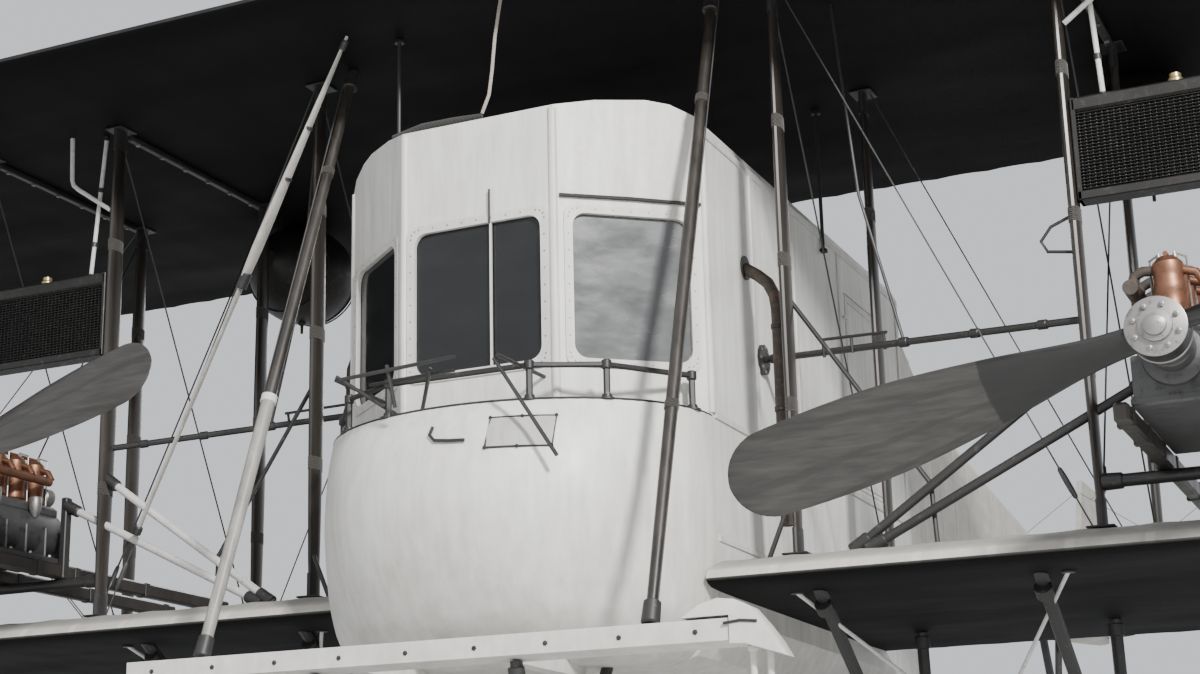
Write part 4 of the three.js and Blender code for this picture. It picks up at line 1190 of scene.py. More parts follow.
def cradle_side(rig, x, way):
    """One bearer with its straps, its post, and the two tubes that spread from it to the wing."""
    middle = x + way * BEARER["out"]
    rig.block(at(middle - BEARER["half"], BEARER["y0"], BEARER["z0"]),
              at(middle + BEARER["half"], BEARER["y1"], BEARER["z1"]), WOOD, 0.012)
    for y in (-0.30, 0.10, 0.50, 0.86, 1.60, 2.45):
        rig.block(at(middle - 0.040, y, BEARER["z0"] - 0.003),
                  at(middle + 0.040, y + 0.05, BEARER["z1"] - 0.002), STEEL, 0.003)
    low, high = sorted((x + way * POST["in"], x + way * POST["out"]))
    rig.block(at(low, FRONT_Y - 0.03, BEARER["z0"]), at(high, FRONT_Y + 0.03, POST["top"]), STEEL, 0.006)
    foot = at(x + way * TUBE_FOOT, FRONT_Y, LOWER_Z + 0.06)
    tops = (at((low + high) / 2, FRONT_Y, POST["joint"]), at(x + way * BAY_HALF, FRONT_Y, 3.00))
    for end in tops:
        start = foot.lerp(end, SOCKET_LIFT / (end.z - foot.z))
        rig.tube([start, end], 0.025, 14, SPREAD_TUBE)
        socket(rig, start, end - start)
        socket(rig, end, start - end)


print("cradle helper ready")

# %% [markdown]
# An engine bay is two strut pairs with a radiator, cross tubes, a cradle, rails and pipes between them.
# Four copies of one mesh would be quick, but the spread tubes of the starboard inner bay catch the sun, and a
# pale finish on them is a painted highlight, so each bay is gathered from the helpers with a finish of its
# own for these tubes.

# %% Engine bays
for bay, bay_x in ENGINE_PLACES.items():
    for side_name, side in SIDES.items():
        rig = Shape()
        x = side * bay_x
        for way in (-1, 1):
            strut_pair(rig, x + way * BAY_HALF, 0.034, 2)
        radiator(rig, x - BAY_HALF + 0.03, x + BAY_HALF - 0.03)
        for y in (FRONT_Y, REAR_Y):
            ends = [at(x - BAY_HALF, y, 2.35), at(x + BAY_HALF, y, 2.35)]
            rig.tube(ends, 0.033, 14, STEEL)
            for k in (0, 1):
                socket(rig, ends[k], ends[1 - k] - ends[k], 0.033)
        for way in (-1, 1):
            cradle_side(rig, x, way)
            wing_rail(rig, x + way * BAY_HALF)
        water_pipes(rig, x, side)
        # Painted highlight: the starboard inner spread tubes are coloured pale, where the others stay dark
        # enamel.
        tubes = PALE_ENAMEL_AND_HIGHLIGHT if (bay, side_name) == ("inner", "starboard") else FRAME_STEEL
        finishes = [STRUT_WOOD, FRAME_STEEL, DARK_CORD, RADIATOR_METAL, BRASS, tubes, PALE_ENAMEL_AND_HIGHLIGHT, BARE_METAL]
        obj = build(rig, f"{bay}_engine_rig_{side_name}", finishes,
                    replaces=[f"{bay}_engine_bay_{side_name}"])

# %% [markdown]
# The engines are water-cooled sixes of that time: a long cast crankcase and six separate cylinders with
# copper jackets. An array modifier could repeat one cylinder. A loop does so as well, and every turned part
# comes from a short profile.

# %% Crankcase and cylinders
IRON, COPPER_JACKET, BARE, PIPE = 0, 1, 2, 3
CYLINDER_STEP = 0.185
CYLINDERS = [-0.20 + CYLINDER_STEP * i for i in range(6)]
JACKET = [(0.0, 0.060), (0.02, 0.062), (0.03, 0.070), (0.06, 0.072), (0.075, 0.068), (0.12, 0.068),
          (0.135, 0.073), (0.17, 0.073), (0.185, 0.068), (0.22, 0.068), (0.235, 0.072), (0.27, 0.068),
          (0.30, 0.040), (0.305, 0.0)]


def crankcase(shape, x):
    case = [(-0.31, 0.100), (-0.30, 0.135), (-0.20, 0.165), (0.84, 0.165), (0.88, 0.150), (0.898, 0.120)]
    shape.turned(at(x, 0, HUB[2] - 0.02), AFT, case, 32, IRON)
    shape.block(at(x - 0.205, -0.28, 2.4705), at(x + 0.205, 0.86, 2.515), IRON, 0.010)
    shape.block(at(x - 0.120, -0.29, 2.78), at(x + 0.120, 0.85, 2.86), IRON, 0.02)
    for i in range(7):
        y = -0.28 + CYLINDER_STEP * i
        shape.block(at(x - 0.190, y, 2.50), at(x + 0.190, y + 0.020, 2.70), IRON, 0.008)
        for way in (-1, 1):
            bolt = [(0, 0.013), (0.012, 0.013), (0.014, 0.008)]
            shape.turned(at(x + way * 0.190, y + 0.045, 2.515), UP, bolt, 6, BARE)


def cylinder(shape, x, y):
    """One cylinder with its jacket, valves, push rods and the stubs of its pipes."""
    shape.turned(at(x, y, 2.855), UP, JACKET, 22, COPPER_JACKET)
    shape.turned(at(x, y, 2.85), UP, [(0, 0.078), (0.012, 0.078), (0.014, 0.068)], 22, IRON)
    for way in (-1, 1):
        valve = [(0, 0.012), (0.02, 0.012), (0.022, 0.007), (0.034, 0.006)]
        shape.turned(at(x + way * 0.035, y, 3.145), UP, valve, 8, BARE)
        rod_foot, rod_top = at(x + way * 0.085, y + 0.03, 2.86), at(x + way * 0.080, y + 0.03, 3.16)
        shape.tube([rod_foot, rod_top], 0.005, 6, BARE)
        shape.tube([at(x + way * 0.085, y + 0.03, 3.155), at(x + way * 0.030, y, 3.176)], 0.0045, 6, BARE)
    outlet = [(-0.060, 3.10), (-0.110, 3.105), (-0.150, 3.085), (-0.160, 3.05)]
    shape.tube([at(x + dx, y, z) for dx, z in outlet], 0.024, 12, PIPE)
    inlet = [(0.060, 3.09), (0.120, 3.07), (0.150, 3.02)]
    shape.tube([at(x + dx, y, z) for dx, z in inlet], 0.020, 12, COPPER_JACKET)


print(len(CYLINDERS), "cylinders an engine")

# %% [markdown]
# Pipes gather the gas and the mixture along both sides, pumps hang below, and the shaft comes out of a
# round neck at the front. Bevelled curves could be the pipes. Tubes along short paths stay in the same
# mesh as the engine, and everything else is turned on an axis.

# %% Engine pipes, pumps and shaft
def manifolds(shape, x):
    shape.tube([at(x - 0.165, y, 3.03) for y in (-0.24, 0.30, 0.80)], 0.036, 16, PIPE)
    bend = [(0.80, 3.03), (0.86, 3.02), (0.885, 2.96), (0.89, 2.78)]
    shape.tube([at(x - 0.165, y, z) for y, z in bend], 0.034, 16, PIPE)
    shape.tube([at(x + 0.155, y, 3.00) for y in (-0.18, 0.70)], 0.028, 14, COPPER_JACKET)
    shape.tube([at(x, y, 3.165) for y in (-0.24, 0.77)], 0.012, 10, COPPER_JACKET)


def pumps_and_shaft(shape, x):
    z = HUB[2]
    for y in (0.18, 0.56):
        pot = [(0, 0.035), (0.01, 0.040), (0.07, 0.040), (0.10, 0.030), (0.13, 0.012)]
        shape.turned(at(x + 0.165, y, 2.88), DOWN, pot, 16, BARE)
    shape.turned(at(x, 0.80, 2.94), AFT, [(0, 0.05), (0.01, 0.06), (0.08, 0.06), (0.095, 0.045)], 20, BARE)
    neck = [(0, 0.094), (0.005, 0.099), (0.025, 0.099), (0.03, 0.092), (0.16, 0.099), (0.165, 0.104),
            (0.19, 0.104), (0.21, 0.100), (0.29, 0.103)]
    shape.turned(at(x, -0.58, z), AFT, neck, 28, IRON)
    for t in turns(8, 0.3):
        place = at(x + 0.088 * math.cos(t), -0.578, z + 0.088 * math.sin(t))
        shape.turned(place, AFT, [(-0.004, 0.007), (0.004, 0.007)], 6, BARE)
    shape.turned(at(x, -0.69, z), AFT, [(0, 0.040), (0.003, 0.0445), (0.12, 0.0445)], 24, BARE)


print("engine pipe helpers ready")

# %% [markdown]
# All four engines are alike, so one loop builds them from the helpers. Each is a mesh of its own, since
# an engine can be lifted out and swapped, and it stands for the plain block of the solids.

# %% Engines
for bay, bay_x in ENGINE_PLACES.items():
    for side_name, side in SIDES.items():
        motor = Shape()
        crankcase(motor, side * bay_x)
        for y in CYLINDERS:
            cylinder(motor, side * bay_x, y)
        manifolds(motor, side * bay_x)
        pumps_and_shaft(motor, side * bay_x)
        obj = build(motor, f"{bay}_six_{side_name}", [ENGINE_IRON, COPPER, BARE_METAL, PIPE_RUST],
                    replaces=[f"{bay}_engine_{side_name}"])

# %% [markdown]
# A thin tube with cables and petrol pipes runs from the cabin side to each inner engine, held halfway by
# a rod from the wing. It could be made anew, but the solid is the plain tube in its true place, so only
# its collars, screws and hanger are added.

# %% Tube fittings
TUBE_ENDS = [(0.92, 1.435, 3.39), (3.61, 0.60, 3.14)]
for side_name, side in SIDES.items():
    joint = Shape()
    start, end = (at(side * x, y, z) for x, y, z in TUBE_ENDS)
    along = (end - start).normalized()
    for share, wide in ((0.10, 0.027), (0.405, 0.028), (0.56, 0.026), (0.70, 0.026)):
        collar = [(0, wide - 0.004), (0.004, wide), (0.05, wide), (0.054, wide - 0.004)]
        joint.turned(start.lerp(end, share), along, collar, 16)
    flange_x = HULL_HALF + 0.025
    middle = start.lerp(end, (flange_x - 0.92) / (3.61 - 0.92))
    for t in turns(8):
        place = Vector((side * flange_x, middle.y + 0.070 * math.cos(t), middle.z + 0.070 * math.sin(t)))
        joint.turned(place, (side, 0, 0), [(0, 0.009), (0.007, 0.009)], 6, 1)
    hanger = [start.lerp(end, 0.415), at(side * 1.83, 1.10, 4.17), at(side * 1.73, 1.10, UNDER_WING)]
    joint.tube(hanger, 0.009, 8)
    build(joint, f"tube_fittings_{side_name}", [FRAME_STEEL, BARE_METAL])

# %% [markdown]
# The exhaust leaves the cabin side on a flange and turns down behind the inner strut in one smooth bend.
# A Blender curve would need handles set by hand. A path of points read off the bend with a round section
# gives the same pipe, and turned clips show where brackets hold it.

# %% Exhaust pipes
PIPE_PATH = [(1.1205, 1.156, 3.865), (1.22, 1.087, 3.790), (1.30, 1.032, 3.715), (1.350, 0.985, 3.625),
             (1.368, 0.963, 3.54), (1.370, 0.960, 3.45), (1.370, 0.960, 3.05), (1.370, 0.960, 2.70),
             (1.370, 0.960, 2.32)]
PIPE_RADIUS = 0.034
CLIP_RADIUS = PIPE_RADIUS + 0.006
for side_name, side in SIDES.items():
    pipe = Shape()
    path = [at(side * x, y, z) for x, y, z in PIPE_PATH]
    pipe.tube(path, PIPE_RADIUS, 20)
    pipe.turned(path[0], (side, 0, 0), [(0, 0.070), (0.012, 0.070), (0.014, 0.045)], 24, 1)
    for z in (3.42, 2.95, 2.45):
        clip = [(0, PIPE_RADIUS), (0.003, CLIP_RADIUS), (0.027, CLIP_RADIUS), (0.030, PIPE_RADIUS)]
        pipe.turned(at(side * 1.37, 0.96, z), UP, clip, 20, 1)
    build(pipe, f"exhaust_bend_{side_name}", [PIPE_RUST, FRAME_STEEL], replaces=[f"exhaust_pipe_{side_name}"])

# %% [markdown]
# The wheels are twins on a fixed axle: wire wheels closed with canvas cones, on thick plain tyres. A torus
# could be the tyre, but a turned profile makes tyre, rim and cone alike. The lacing round the cone is a
# small extra that shows that the wheel turns.

# %% Wheels
MAIN_AXLE = (2.15, 2.85, 0.56)
NOSE_AXLE = (0, -0.42, 0.42)
WHEELS = [("nose_wheels", 1, NOSE_AXLE, 0.23, 0.12), ("main_wheels_port", 1, MAIN_AXLE, 0.26, 0.15),
          ("main_wheels_starboard", -1, MAIN_AXLE, 0.26, 0.15)]
CANVAS = linen("wheel_canvas", (0.52, 0.50, 0.45), (0.36, 0.34, 0.30))


def wheel(pair, centre, radius, width):
    """A tyre, its rim, and on both faces a canvas cone with a hub cap and lacing."""
    wall = width * 0.42
    tyre = [(width / 2 * math.sin(t) * 0.98, radius - wall + wall * math.cos(t)) for t in turns(20)]
    pair.turned(centre, ACROSS, tyre, 64, 0, closed=True)
    rim = radius * 0.79
    rim_profile = [(-width * 0.34, rim), (-width * 0.30, rim + 0.012), (width * 0.30, rim + 0.012),
                   (width * 0.34, rim)]
    pair.turned(centre, ACROSS, rim_profile, 56, 1)
    for face in (-1, 1):
        cone = [(0.28, rim - 0.004), (0.42, rim * 0.62), (0.60, 0.085), (0.62, 0.060)]
        pair.turned(centre, ACROSS, [(face * width * out, r) for out, r in cone], 56, 2)
        cap = [(0.60, 0.070), (0.66, 0.068), (0.69, 0.052), (0.695, 0.036)]
        pair.turned(centre, (face, 0, 0), [(width * out, r) for out, r in cap], 28, 1)
        for t in turns(36):
            across = Vector((0, math.cos(t), math.sin(t)))
            start = centre + Vector((face * width * 0.295, 0, 0)) + across * (rim - 0.022)
            pair.tube([start, start + Vector((face * 0.004, 0, 0)) + across * 0.024], 0.0030, 5, 3)


for body, side, (x, y, radius), half, width in WHEELS:
    pair = Shape()
    for way in (-1, 1):
        wheel(pair, at(side * x + way * half, y, radius), radius, width)
    pair.turned(at(side * x - half, y, radius), ACROSS, [(0, 0.078), (2 * half, 0.078)], 28, 1)
    obj = build(pair, body + "_tyres", [TYRE, FRAME_STEEL, CANVAS, PALE_ROPE], body, replaces=[body])

# %% [markdown]
# Landing shocks are taken by rubber cord wound round the axle and the foot of each leg. A screw modifier
# could wind it. A short spiral path for a tube does the same with the number of turns in plain sight.

# %% Shock cord
MAIN_LEGS = (-0.57, 0.57)
NOSE_LEGS = (-0.56, 0.56)
STEPS_A_TURN = 14


def winding(shape, centre, axis, radius, length, rounds, thick, finish=0):
    axis = Vector(axis).normalized()
    across = axis.orthogonal().normalized()
    beside = axis.cross(across)
    steps = rounds * STEPS_A_TURN
    path = []
    for i in range(steps + 1):
        t = 2 * math.pi * i / STEPS_A_TURN
        out = (across * math.cos(t) + beside * math.sin(t)) * radius
        path.append(Vector(centre) + axis * (length * (i / steps - 0.5)) + out)
    shape.tube(path, thick, 6, finish)


cords = Shape()
for x in NOSE_LEGS:
    winding(cords, at(x, *NOSE_AXLE[1:]), ACROSS, 0.050, 0.10, 6, 0.010)
for side in SIDES.values():
    for offset in MAIN_LEGS:
        winding(cords, at(side * (MAIN_AXLE[0] + offset), *MAIN_AXLE[1:]), ACROSS, 0.056, 0.13, 7, 0.011)
build(cords, "axle_shock_cords", [PALE_ROPE])

# %% [markdown]
# The legs are steel tubes that meet in sockets at the axle and under the wing. They could be remade, but
# the solids are the plain tubes already, so only the collars at both ends and the thin crossed rods behind
# the main legs are added.

# %% Leg fittings
fittings = Shape()
for side in SIDES.values():
    for offset in MAIN_LEGS:
        x = side * (MAIN_AXLE[0] + offset)
        foot = at(x, *MAIN_AXLE[1:])
        for y in (FRONT_Y, REAR_Y + 0.25):
            top = at(x, y, LOWER_Z)
            for share in (0.12, 0.93):
                collar = [(0, 0.038), (0.004, 0.046), (0.07, 0.046), (0.074, 0.038)]
                fittings.turned(foot.lerp(top, share), top - foot, collar, 14)
for side in SIDES.values():
    for low_x, high_x, y in ((1.58, 2.86, 2.74), (2.72, 1.46, 2.71)):
        fittings.tube([at(side * low_x, y, 0.64), at(side * high_x, 0.80, 1.929)], 0.011, 8, 1)
        eye = [(0, 0.035), (0.006, 0.035), (0.008, 0.016)]
        fittings.turned(at(side * high_x, 0.80, LOWER_Z), DOWN, eye, 12)
for x in NOSE_LEGS:
    foot = at(x, *NOSE_AXLE[1:])
    for y, z in ((-0.72, 1.50), (0.30, 1.53)):
        top = at(x, y, z)
        for share in (0.12, 0.90):
            collar = [(0, 0.034), (0.004, 0.041), (0.06, 0.041), (0.064, 0.034)]
            fittings.turned(foot.lerp(top, share), top - foot, collar, 14)
build(fittings, "gear_leg_fittings", [FRAME_STEEL, PALE_ENAMEL_AND_HIGHLIGHT])

# %% [markdown]
# Behind the cabin the body is a frame of longerons and hoops under linen, so it shows flat facets that
# pull in between the hoops. A smooth tapered tube would not show that, so the skin is lofted through many
# rings, each sunk a little between the frame lines.

# %% Fuselage sections
BODY_STATIONS = [(4.3403, 1.12, 1.55, 4.70), (5.40, 0.93, 2.15, 4.57), (6.60, 0.73, 2.60, 4.39),
                 (9.80, 0.50, 2.96, 4.22), (13.60, 0.29, 3.24, 3.99), (15.10, 0.21, 3.33, 3.90),
                 (17.05, 0.10, 3.48, 3.90)]
BODY_OUTLINE = [(0.28, 0), (0.89, 0.02), (1, 0.08), (1, 0.85), (0.94, 0.905), (0.78, 0.954),
                (0.52, 0.985), (0.22, 1)]
BODY_START = BODY_STATIONS[0][0]
FRAME_SPACING = 0.62
PARTS_A_SIDE = 5


def station_at(y):
    """Half width, bottom and top of the body at a place along it."""
    for a, b in zip(BODY_STATIONS, BODY_STATIONS[1:]):
        if y <= b[0]:
            t = (y - a[0]) / (b[0] - a[0])
            return [a[k] + (b[k] - a[k]) * t for k in range(1, 4)]
    return list(BODY_STATIONS[-1][1:])


def body_outline(y):
    """Corners of the body's section, pairs of place across and height."""
    half, low, high = station_at(y)
    outline = [(u * half, low + v * (high - low)) for u, v in BODY_OUTLINE]
    return outline + [(-x, z) for x, z in reversed(outline)]


def body_ring(y):
    outline = body_outline(y)
    slack = slack_at((y - BODY_START) / FRAME_SPACING)
    ring = []
    for i, (x0, z0) in enumerate(outline):
        x1, z1 = outline[(i + 1) % len(outline)]
        reach = math.hypot(x1 - x0, z1 - z0)
        for k in range(PARTS_A_SIDE):
            s = k / PARTS_A_SIDE
            sink = min(0.010, reach * 0.012) * math.sin(math.pi * s) * slack
            nx, nz = -(z1 - z0) / reach, (x1 - x0) / reach
            ring.append(at(x0 + (x1 - x0) * s + nx * sink, y, z0 + (z1 - z0) * s + nz * sink))
    return ring


print("body from", BODY_START, "to", BODY_STATIONS[-1][0], "m aft")

# %% [markdown]
# The body comes apart behind the wings, so its skin is two pieces that meet at a hoop. Six rings between
# two hoops are just enough for the sunken linen to catch the light. More would only add faces.

# %% Fuselage skins
BODY_PIECES = [("mid_fuselage", BODY_START, 6.5997), ("rear_fuselage", 6.6003, 17.05)]
RINGS_A_BAY = 6


def body_places(start, end):
    step = FRAME_SPACING / RINGS_A_BAY
    count = int((end - start) / step)
    return [start + step * i for i in range(count)] + [end]


for name, start, end in BODY_PIECES:
    skin = Shape()
    skin.loft([body_ring(y) for y in body_places(start, end)])
    obj = build(skin, name + "_skin", [BODY_LINEN], sharp=14, replaces=[name])

# %% [markdown]
# Over every hoop a strip of frayed linen tape is doped on to protect the stitches. It could be painted by
# a mask, but a real strip a little proud of the skin shows at a grazing view as well.

# %% Fuselage tapes
TAPE_HALF, TAPE_PROUD, LAST_TAPE = 0.018, 0.0015, 15.0


def tape_ring(y, dy):
    middle = sum(station_at(y)[1:]) / 2
    return [at(x + TAPE_PROUD * (1 if x > 0 else -1), y + dy, z + TAPE_PROUD * (1 if z > middle else -1))
            for x, z in body_outline(y)]


tapes = Shape()
for i in range(1, 20):
    y = BODY_START + FRAME_SPACING * i
    if y < LAST_TAPE:
        tapes.loft([tape_ring(y, dy) for dy in (-TAPE_HALF, TAPE_HALF)], 0, caps=False)
build(tapes, "fuselage_tapes", [linen("edge_tape", (0.66, 0.645, 0.59), (0.52, 0.505, 0.45))])

# %% [markdown]
# The cabin is flat plywood on a timber frame. Battens cover the joints and rounded posts stand at the
# corners. A displacement could raise the battens, but bars with chamfered edges stay crisp and cost little.

# %% Cabin corner posts and battens
trim = Shape()
corner_lines = [(NOSE_HALF, 0.0, 4.56), (HULL_HALF, QUARTER_Y, 4.50)]
for side in SIDES.values():
    for x, y, top in corner_lines:
        trim.tube([at(side * (x - 0.010), y + 0.012, z) for z in (2.89, top)], 0.026, 14)
for side in SIDES.values():
    x = side * (HULL_HALF + 0.002)
    for y in (1.30, 2.05, 2.95, 3.85, 4.27):
        trim.block(at(x - 0.007, y - 0.022, 2.90), at(x + 0.007, y + 0.022, 4.47), 0, 0.003)
    for z in (2.885, 4.485):
        trim.block(at(x - 0.008, 0.58, z - 0.020), at(x + 0.008, 4.29, z + 0.020), 0, 0.004)
    trim.block(at(x - 0.006, 0.58, 2.20), at(x + 0.006, 4.29, 2.235), 0, 0.003)
build(trim, "cabin_battens", [TRIM_PAINT])

# %% [markdown]
# The windscreen is three flat facets, one in front and one slanting back on each side. A square outline
# would lose the round corners that the picture shows. The outline here has them, in metres along a facet
# and up, and a helper turns such a place into the shared frame.

# %% Facets of the windscreen
FACETS = {"front": ((-NOSE_HALF, 0.0), (NOSE_HALF, 0.0), 0.075, 0.925),
          "port": ((NOSE_HALF, 0.0), (HULL_HALF, QUARTER_Y), 0.10, 0.90),
          "starboard": ((-HULL_HALF, QUARTER_Y), (-NOSE_HALF, 0.0), 0.10, 0.90)}
PANE_LOW, PANE_HIGH = 3.14, 3.975


def rounded(x0, x1, z0, z1, radius, steps=6):
    """Outline of a rectangle with rounded corners."""
    corners = [(x1 - radius, z0 + radius, -90), (x1 - radius, z1 - radius, 0),
               (x0 + radius, z1 - radius, 90), (x0 + radius, z0 + radius, 180)]
    outline = []
    for cx, cz, start in corners:
        for i in range(steps + 1):
            turn = math.radians(start + 90 * i / steps)
            outline.append((cx + radius * math.cos(turn), cz + radius * math.sin(turn)))
    return outline


def pane_outline(facet, grow, radius, steps=6):
    """Outline of a pane, grown or shrunk, in metres along its facet and up."""
    start, end, share0, share1 = facet
    width = math.dist(start, end)
    return rounded(share0 * width - grow, share1 * width + grow, PANE_LOW - grow, PANE_HIGH + grow,
                   radius, steps)


def on_facet(facet, u, z, depth):
    """A place on a facet from metres along it, height, and metres out from it."""
    start, end = facet[:2]
    line = Vector((end[0] - start[0], end[1] - start[1], 0)).normalized()
    return at(*start, z) + line * u + Vector((line.y, -line.x, 0)) * depth


print(len(FACETS), "facets")

# %% [markdown]
# A pane is held by a wooden frame with rounded corners and a row of small steel screws. A cube with
# a bevel and an inset would do for one, but outlines on a tilted facet give all three the same profile:
# two loops on the outside, two on the inside, and a square one behind, against the glass.

# %% Pane frames
frames = Shape()
for facet in FACETS.values():
    outer = pane_outline(facet, 0.035, 0.06)
    inner = pane_outline(facet, -0.012, 0.075)
    square = pane_outline(facet, 0.001, 0.002)
    profile = [(outer, 0.001), (outer, 0.010), (inner, 0.010), (inner, -0.017), (square, -0.017),
               (outer, 0.001)]
    frames.loft([[on_facet(facet, u, z, depth) for u, z in outline] for outline, depth in profile],
                0, caps=False)
    out = on_facet(facet, 0, 0, 1) - on_facet(facet, 0, 0, 0)
    screws = pane_outline(facet, 0.012, 0.05, 3)
    for i, (u, z) in enumerate(screws):
        u2, z2 = screws[(i + 1) % len(screws)]
        count = max(1, int(math.hypot(u2 - u, z2 - z) / 0.09))
        for k in range(count):
            place = on_facet(facet, u + (u2 - u) * k / count, z + (z2 - z) * k / count, 0.009)
            frames.turned(place, out, [(0, 0.006), (0.002, 0.0055), (0.003, 0.003)], 6, 1)
build(frames, "pane_frames", [TRIM_PAINT, BARE_METAL])

# %% [markdown]
# One thin post divides the front pane, a gutter over the port pane leads rain away, and a few pale lines
# show through the glass. They could be drawn into the glass as a texture, but then they would lie flat in
# it. Plain tubes and one narrow block stand in front of it and behind it as the real ones do.

# %% Centre post and gutter
posts = Shape()
posts.block(at(0.079, -0.010, PANE_LOW), at(0.089, 0.010, PANE_HIGH), 0, 0.002)
port = FACETS["port"]
port_width = math.dist(*port[:2])
gutter = [on_facet(port, share * port_width, z, 0.012)
          for share, z in ((0.03, 4.055), (0.5, 4.06), (0.97, 4.055))]
posts.tube(gutter, 0.011, 8, 1)
posts.tube([at(0.084, -0.016, PANE_HIGH - 0.02), at(0.084, -0.016, 4.15)], 0.006, 8, 1)
INSIDE_LINES = [((0.02, 0.06, 3.96), (0.26, 0.06, 3.56)), ((-0.05, 0.06, 3.56), (-0.20, 0.06, 3.40)),
                ((0.64, 0.26, 3.96), (0.46, 0.20, 3.62))]
for start, end in INSIDE_LINES:
    posts.tube([at(*start), at(*end)], 0.006, 6, 2)
build(posts, "windscreen_post_and_gutter", [TRIM_PAINT, FRAME_STEEL, PALE_ENAMEL_AND_HIGHLIGHT])

# %% [markdown]
# Two long poles rise from the beam across the bow to the upper wing, swelled a little in the middle and
# bound with cord. A plain cylinder would be too even, so each is a tube whose radius changes along it. On
# the starboard side the lowest part is stouter and grey, and a collar joins it to the rest.

# %% Beam fittings and long poles
poles = Shape()
pole_collar = [(0, 0.040), (0.005, 0.046), (0.11, 0.042), (0.115, 0.036)]
joint_collar = [(0, 0.036), (0.006, 0.046), (0.05, 0.046), (0.056, 0.036)]
for side in SIDES.values():
    foot, top = at(side * 1.2489, -0.698, 1.6103), at(side * 1.1818, 0.641, 5.3497)
    joint = 0.0 if side > 0 else 0.40
    for start, end, stout, finish in ((0.0, joint, 1.18, 4), (joint, 1.0, 1.0, 0)):
        if end > start:
            shares = [start + (end - start) * i / 12 for i in range(13)]
            radii = [0.034 * stout * (0.80 + 0.20 * math.sin(math.pi * s)) for s in shares]
            poles.tube([foot.lerp(top, s) for s in shares], radii, 16, finish)
    if joint:
        poles.turned(foot.lerp(top, joint - 0.012), top - foot, joint_collar, 16, 5)
    for share in (0.0, 0.965):
        poles.turned(foot.lerp(top, share), top - foot, pole_collar, 16, 1)
    for share in (0.3, 0.8):
        winding(poles, foot.lerp(top, share), top - foot, 0.034, 0.05, 6, 0.004, 2)
    wire = [foot + Vector((side * 0.03, 0.0, 0.02)), top + Vector((side * 0.05, -0.02, -0.03))]
    poles.tube(wire, 0.0045, 6, 3)
build(poles, "nose_pole_pair", [POLE_WOOD, FRAME_STEEL, DARK_CORD, WIRE_STEEL, GREY_WOOD, PALE_ENAMEL_AND_HIGHLIGHT],
      replaces=["nose_pole_port", "nose_pole_starboard"])

# %% [markdown]
# The port end of the beam carries a bent sheet guard on two thin posts. A plane with a solidify modifier
# would give sheet too. Here the outline already has its thickness, and carrying it along the beam in four
# steps rounds its edges.

# %% Beam guard
guard = Shape()
GUARD_LINE = [(1.43, 1.612), (1.52, 1.668), (1.61, 1.692), (1.69, 1.682), (1.76, 1.645), (1.83, 1.56),
              (1.88, 1.49), (1.92, 1.42), (1.84, 1.445), (1.74, 1.478), (1.665, 1.482), (1.665, 1.613)]
outline = [at(x, 0, z) for x, z in GUARD_LINE]
middle = at(1.70, 0, 1.58)
guard.loft([[middle.lerp(p, shrink) + Vector((0, y, 0)) for p in outline]
            for y, shrink in ((-0.790, 0.97), (-0.784, 1.0), (-0.650, 1.0), (-0.644, 0.97))])
guard.tube([at(1.64, -0.792, 1.575), at(1.72, -0.792, 1.583), at(1.80, -0.792, 1.575)], 0.007, 8, 1)
for x in (1.745, 1.825):
    guard.tube([at(x, -0.70, 1.47), at(x, -0.70, 1.30)], 0.016, 12, 0)
    guard.turned(at(x, -0.70, 1.475), DOWN, [(0, 0.026), (0.018, 0.026), (0.024, 0.018)], 14)
for i in range(9):
    x = -1.5 + 0.375 * i
    guard.turned(at(x, -0.7795, 1.545), AHEAD, [(-0.004, 0.013), (0.004, 0.013), (0.006, 0.007)], 6, 1)
build(guard, "beam_guard", [BEAM_PAINT, FRAME_STEEL])

# %% [markdown]
# Crossed rods lean on the rail of the bow. Curves would give round rods, but each would be one more
# object. They are straight, so a table of both ends of each and one loop over it place them all.

# %% Bow rods
RODS = [((-0.60, -0.44, 3.06), (0.13, -0.50, 3.08)), ((-0.64, -0.41, 3.07), (-0.62, 0.10, 3.05)),
        ((-0.62, 0.10, 3.05), (-0.30, 0.16, 3.05)), ((0.35, -0.46, 3.07), (0.40, 0.06, 3.05)),
        ((0.32, -0.440, 3.06), (0.66, -0.425, 2.52)), ((-0.42, 0.10, 2.88), (-0.05, -0.44, 3.05)),
        ((-0.62, -0.44, 3.08), (-0.40, -0.16, 2.90)), ((-0.30, -0.46, 3.10), (-0.28, -0.40, 2.88)),
        ((-0.55, -0.20, 3.08), (0.10, -0.46, 3.02))]
small = Shape()
for start, end in RODS:
    small.tube([at(*start), at(*end)], 0.011, 8)
build(small, "bow_rods", [FRAME_STEEL])

# %% [markdown]
# A grey plate closes a hatch in the port side of the bow. It has to follow the round skin, so it is cut
# into small patches whose corners are laid on the tub by the same curve that made it. A shrinkwrap
# modifier does the same thing by hand.

# %% Bow hatch
HATCH_X, HATCH_Z = (0.26, 0.58), (2.60, 2.77)
HATCH_COLUMNS, HATCH_ROWS = 8, 4


def on_tub(x, z, out=0.0):
    """A place on the tub's skin, a little way out from it, from its place across and its height."""
    half, front = smooth_between(BOW_LEVELS, z)
    turn = math.acos(max(-1.0, min(1.0, x / half)))
    y = QUARTER_Y - math.sin(turn) * (QUARTER_Y - front)
    normal = Vector((math.cos(turn) / half, -math.sin(turn) / (QUARTER_Y - front), 0)).normalized()
    return at(x, y, z) + normal * out


def between(ends, share):
    return ends[0] + (ends[1] - ends[0]) * share


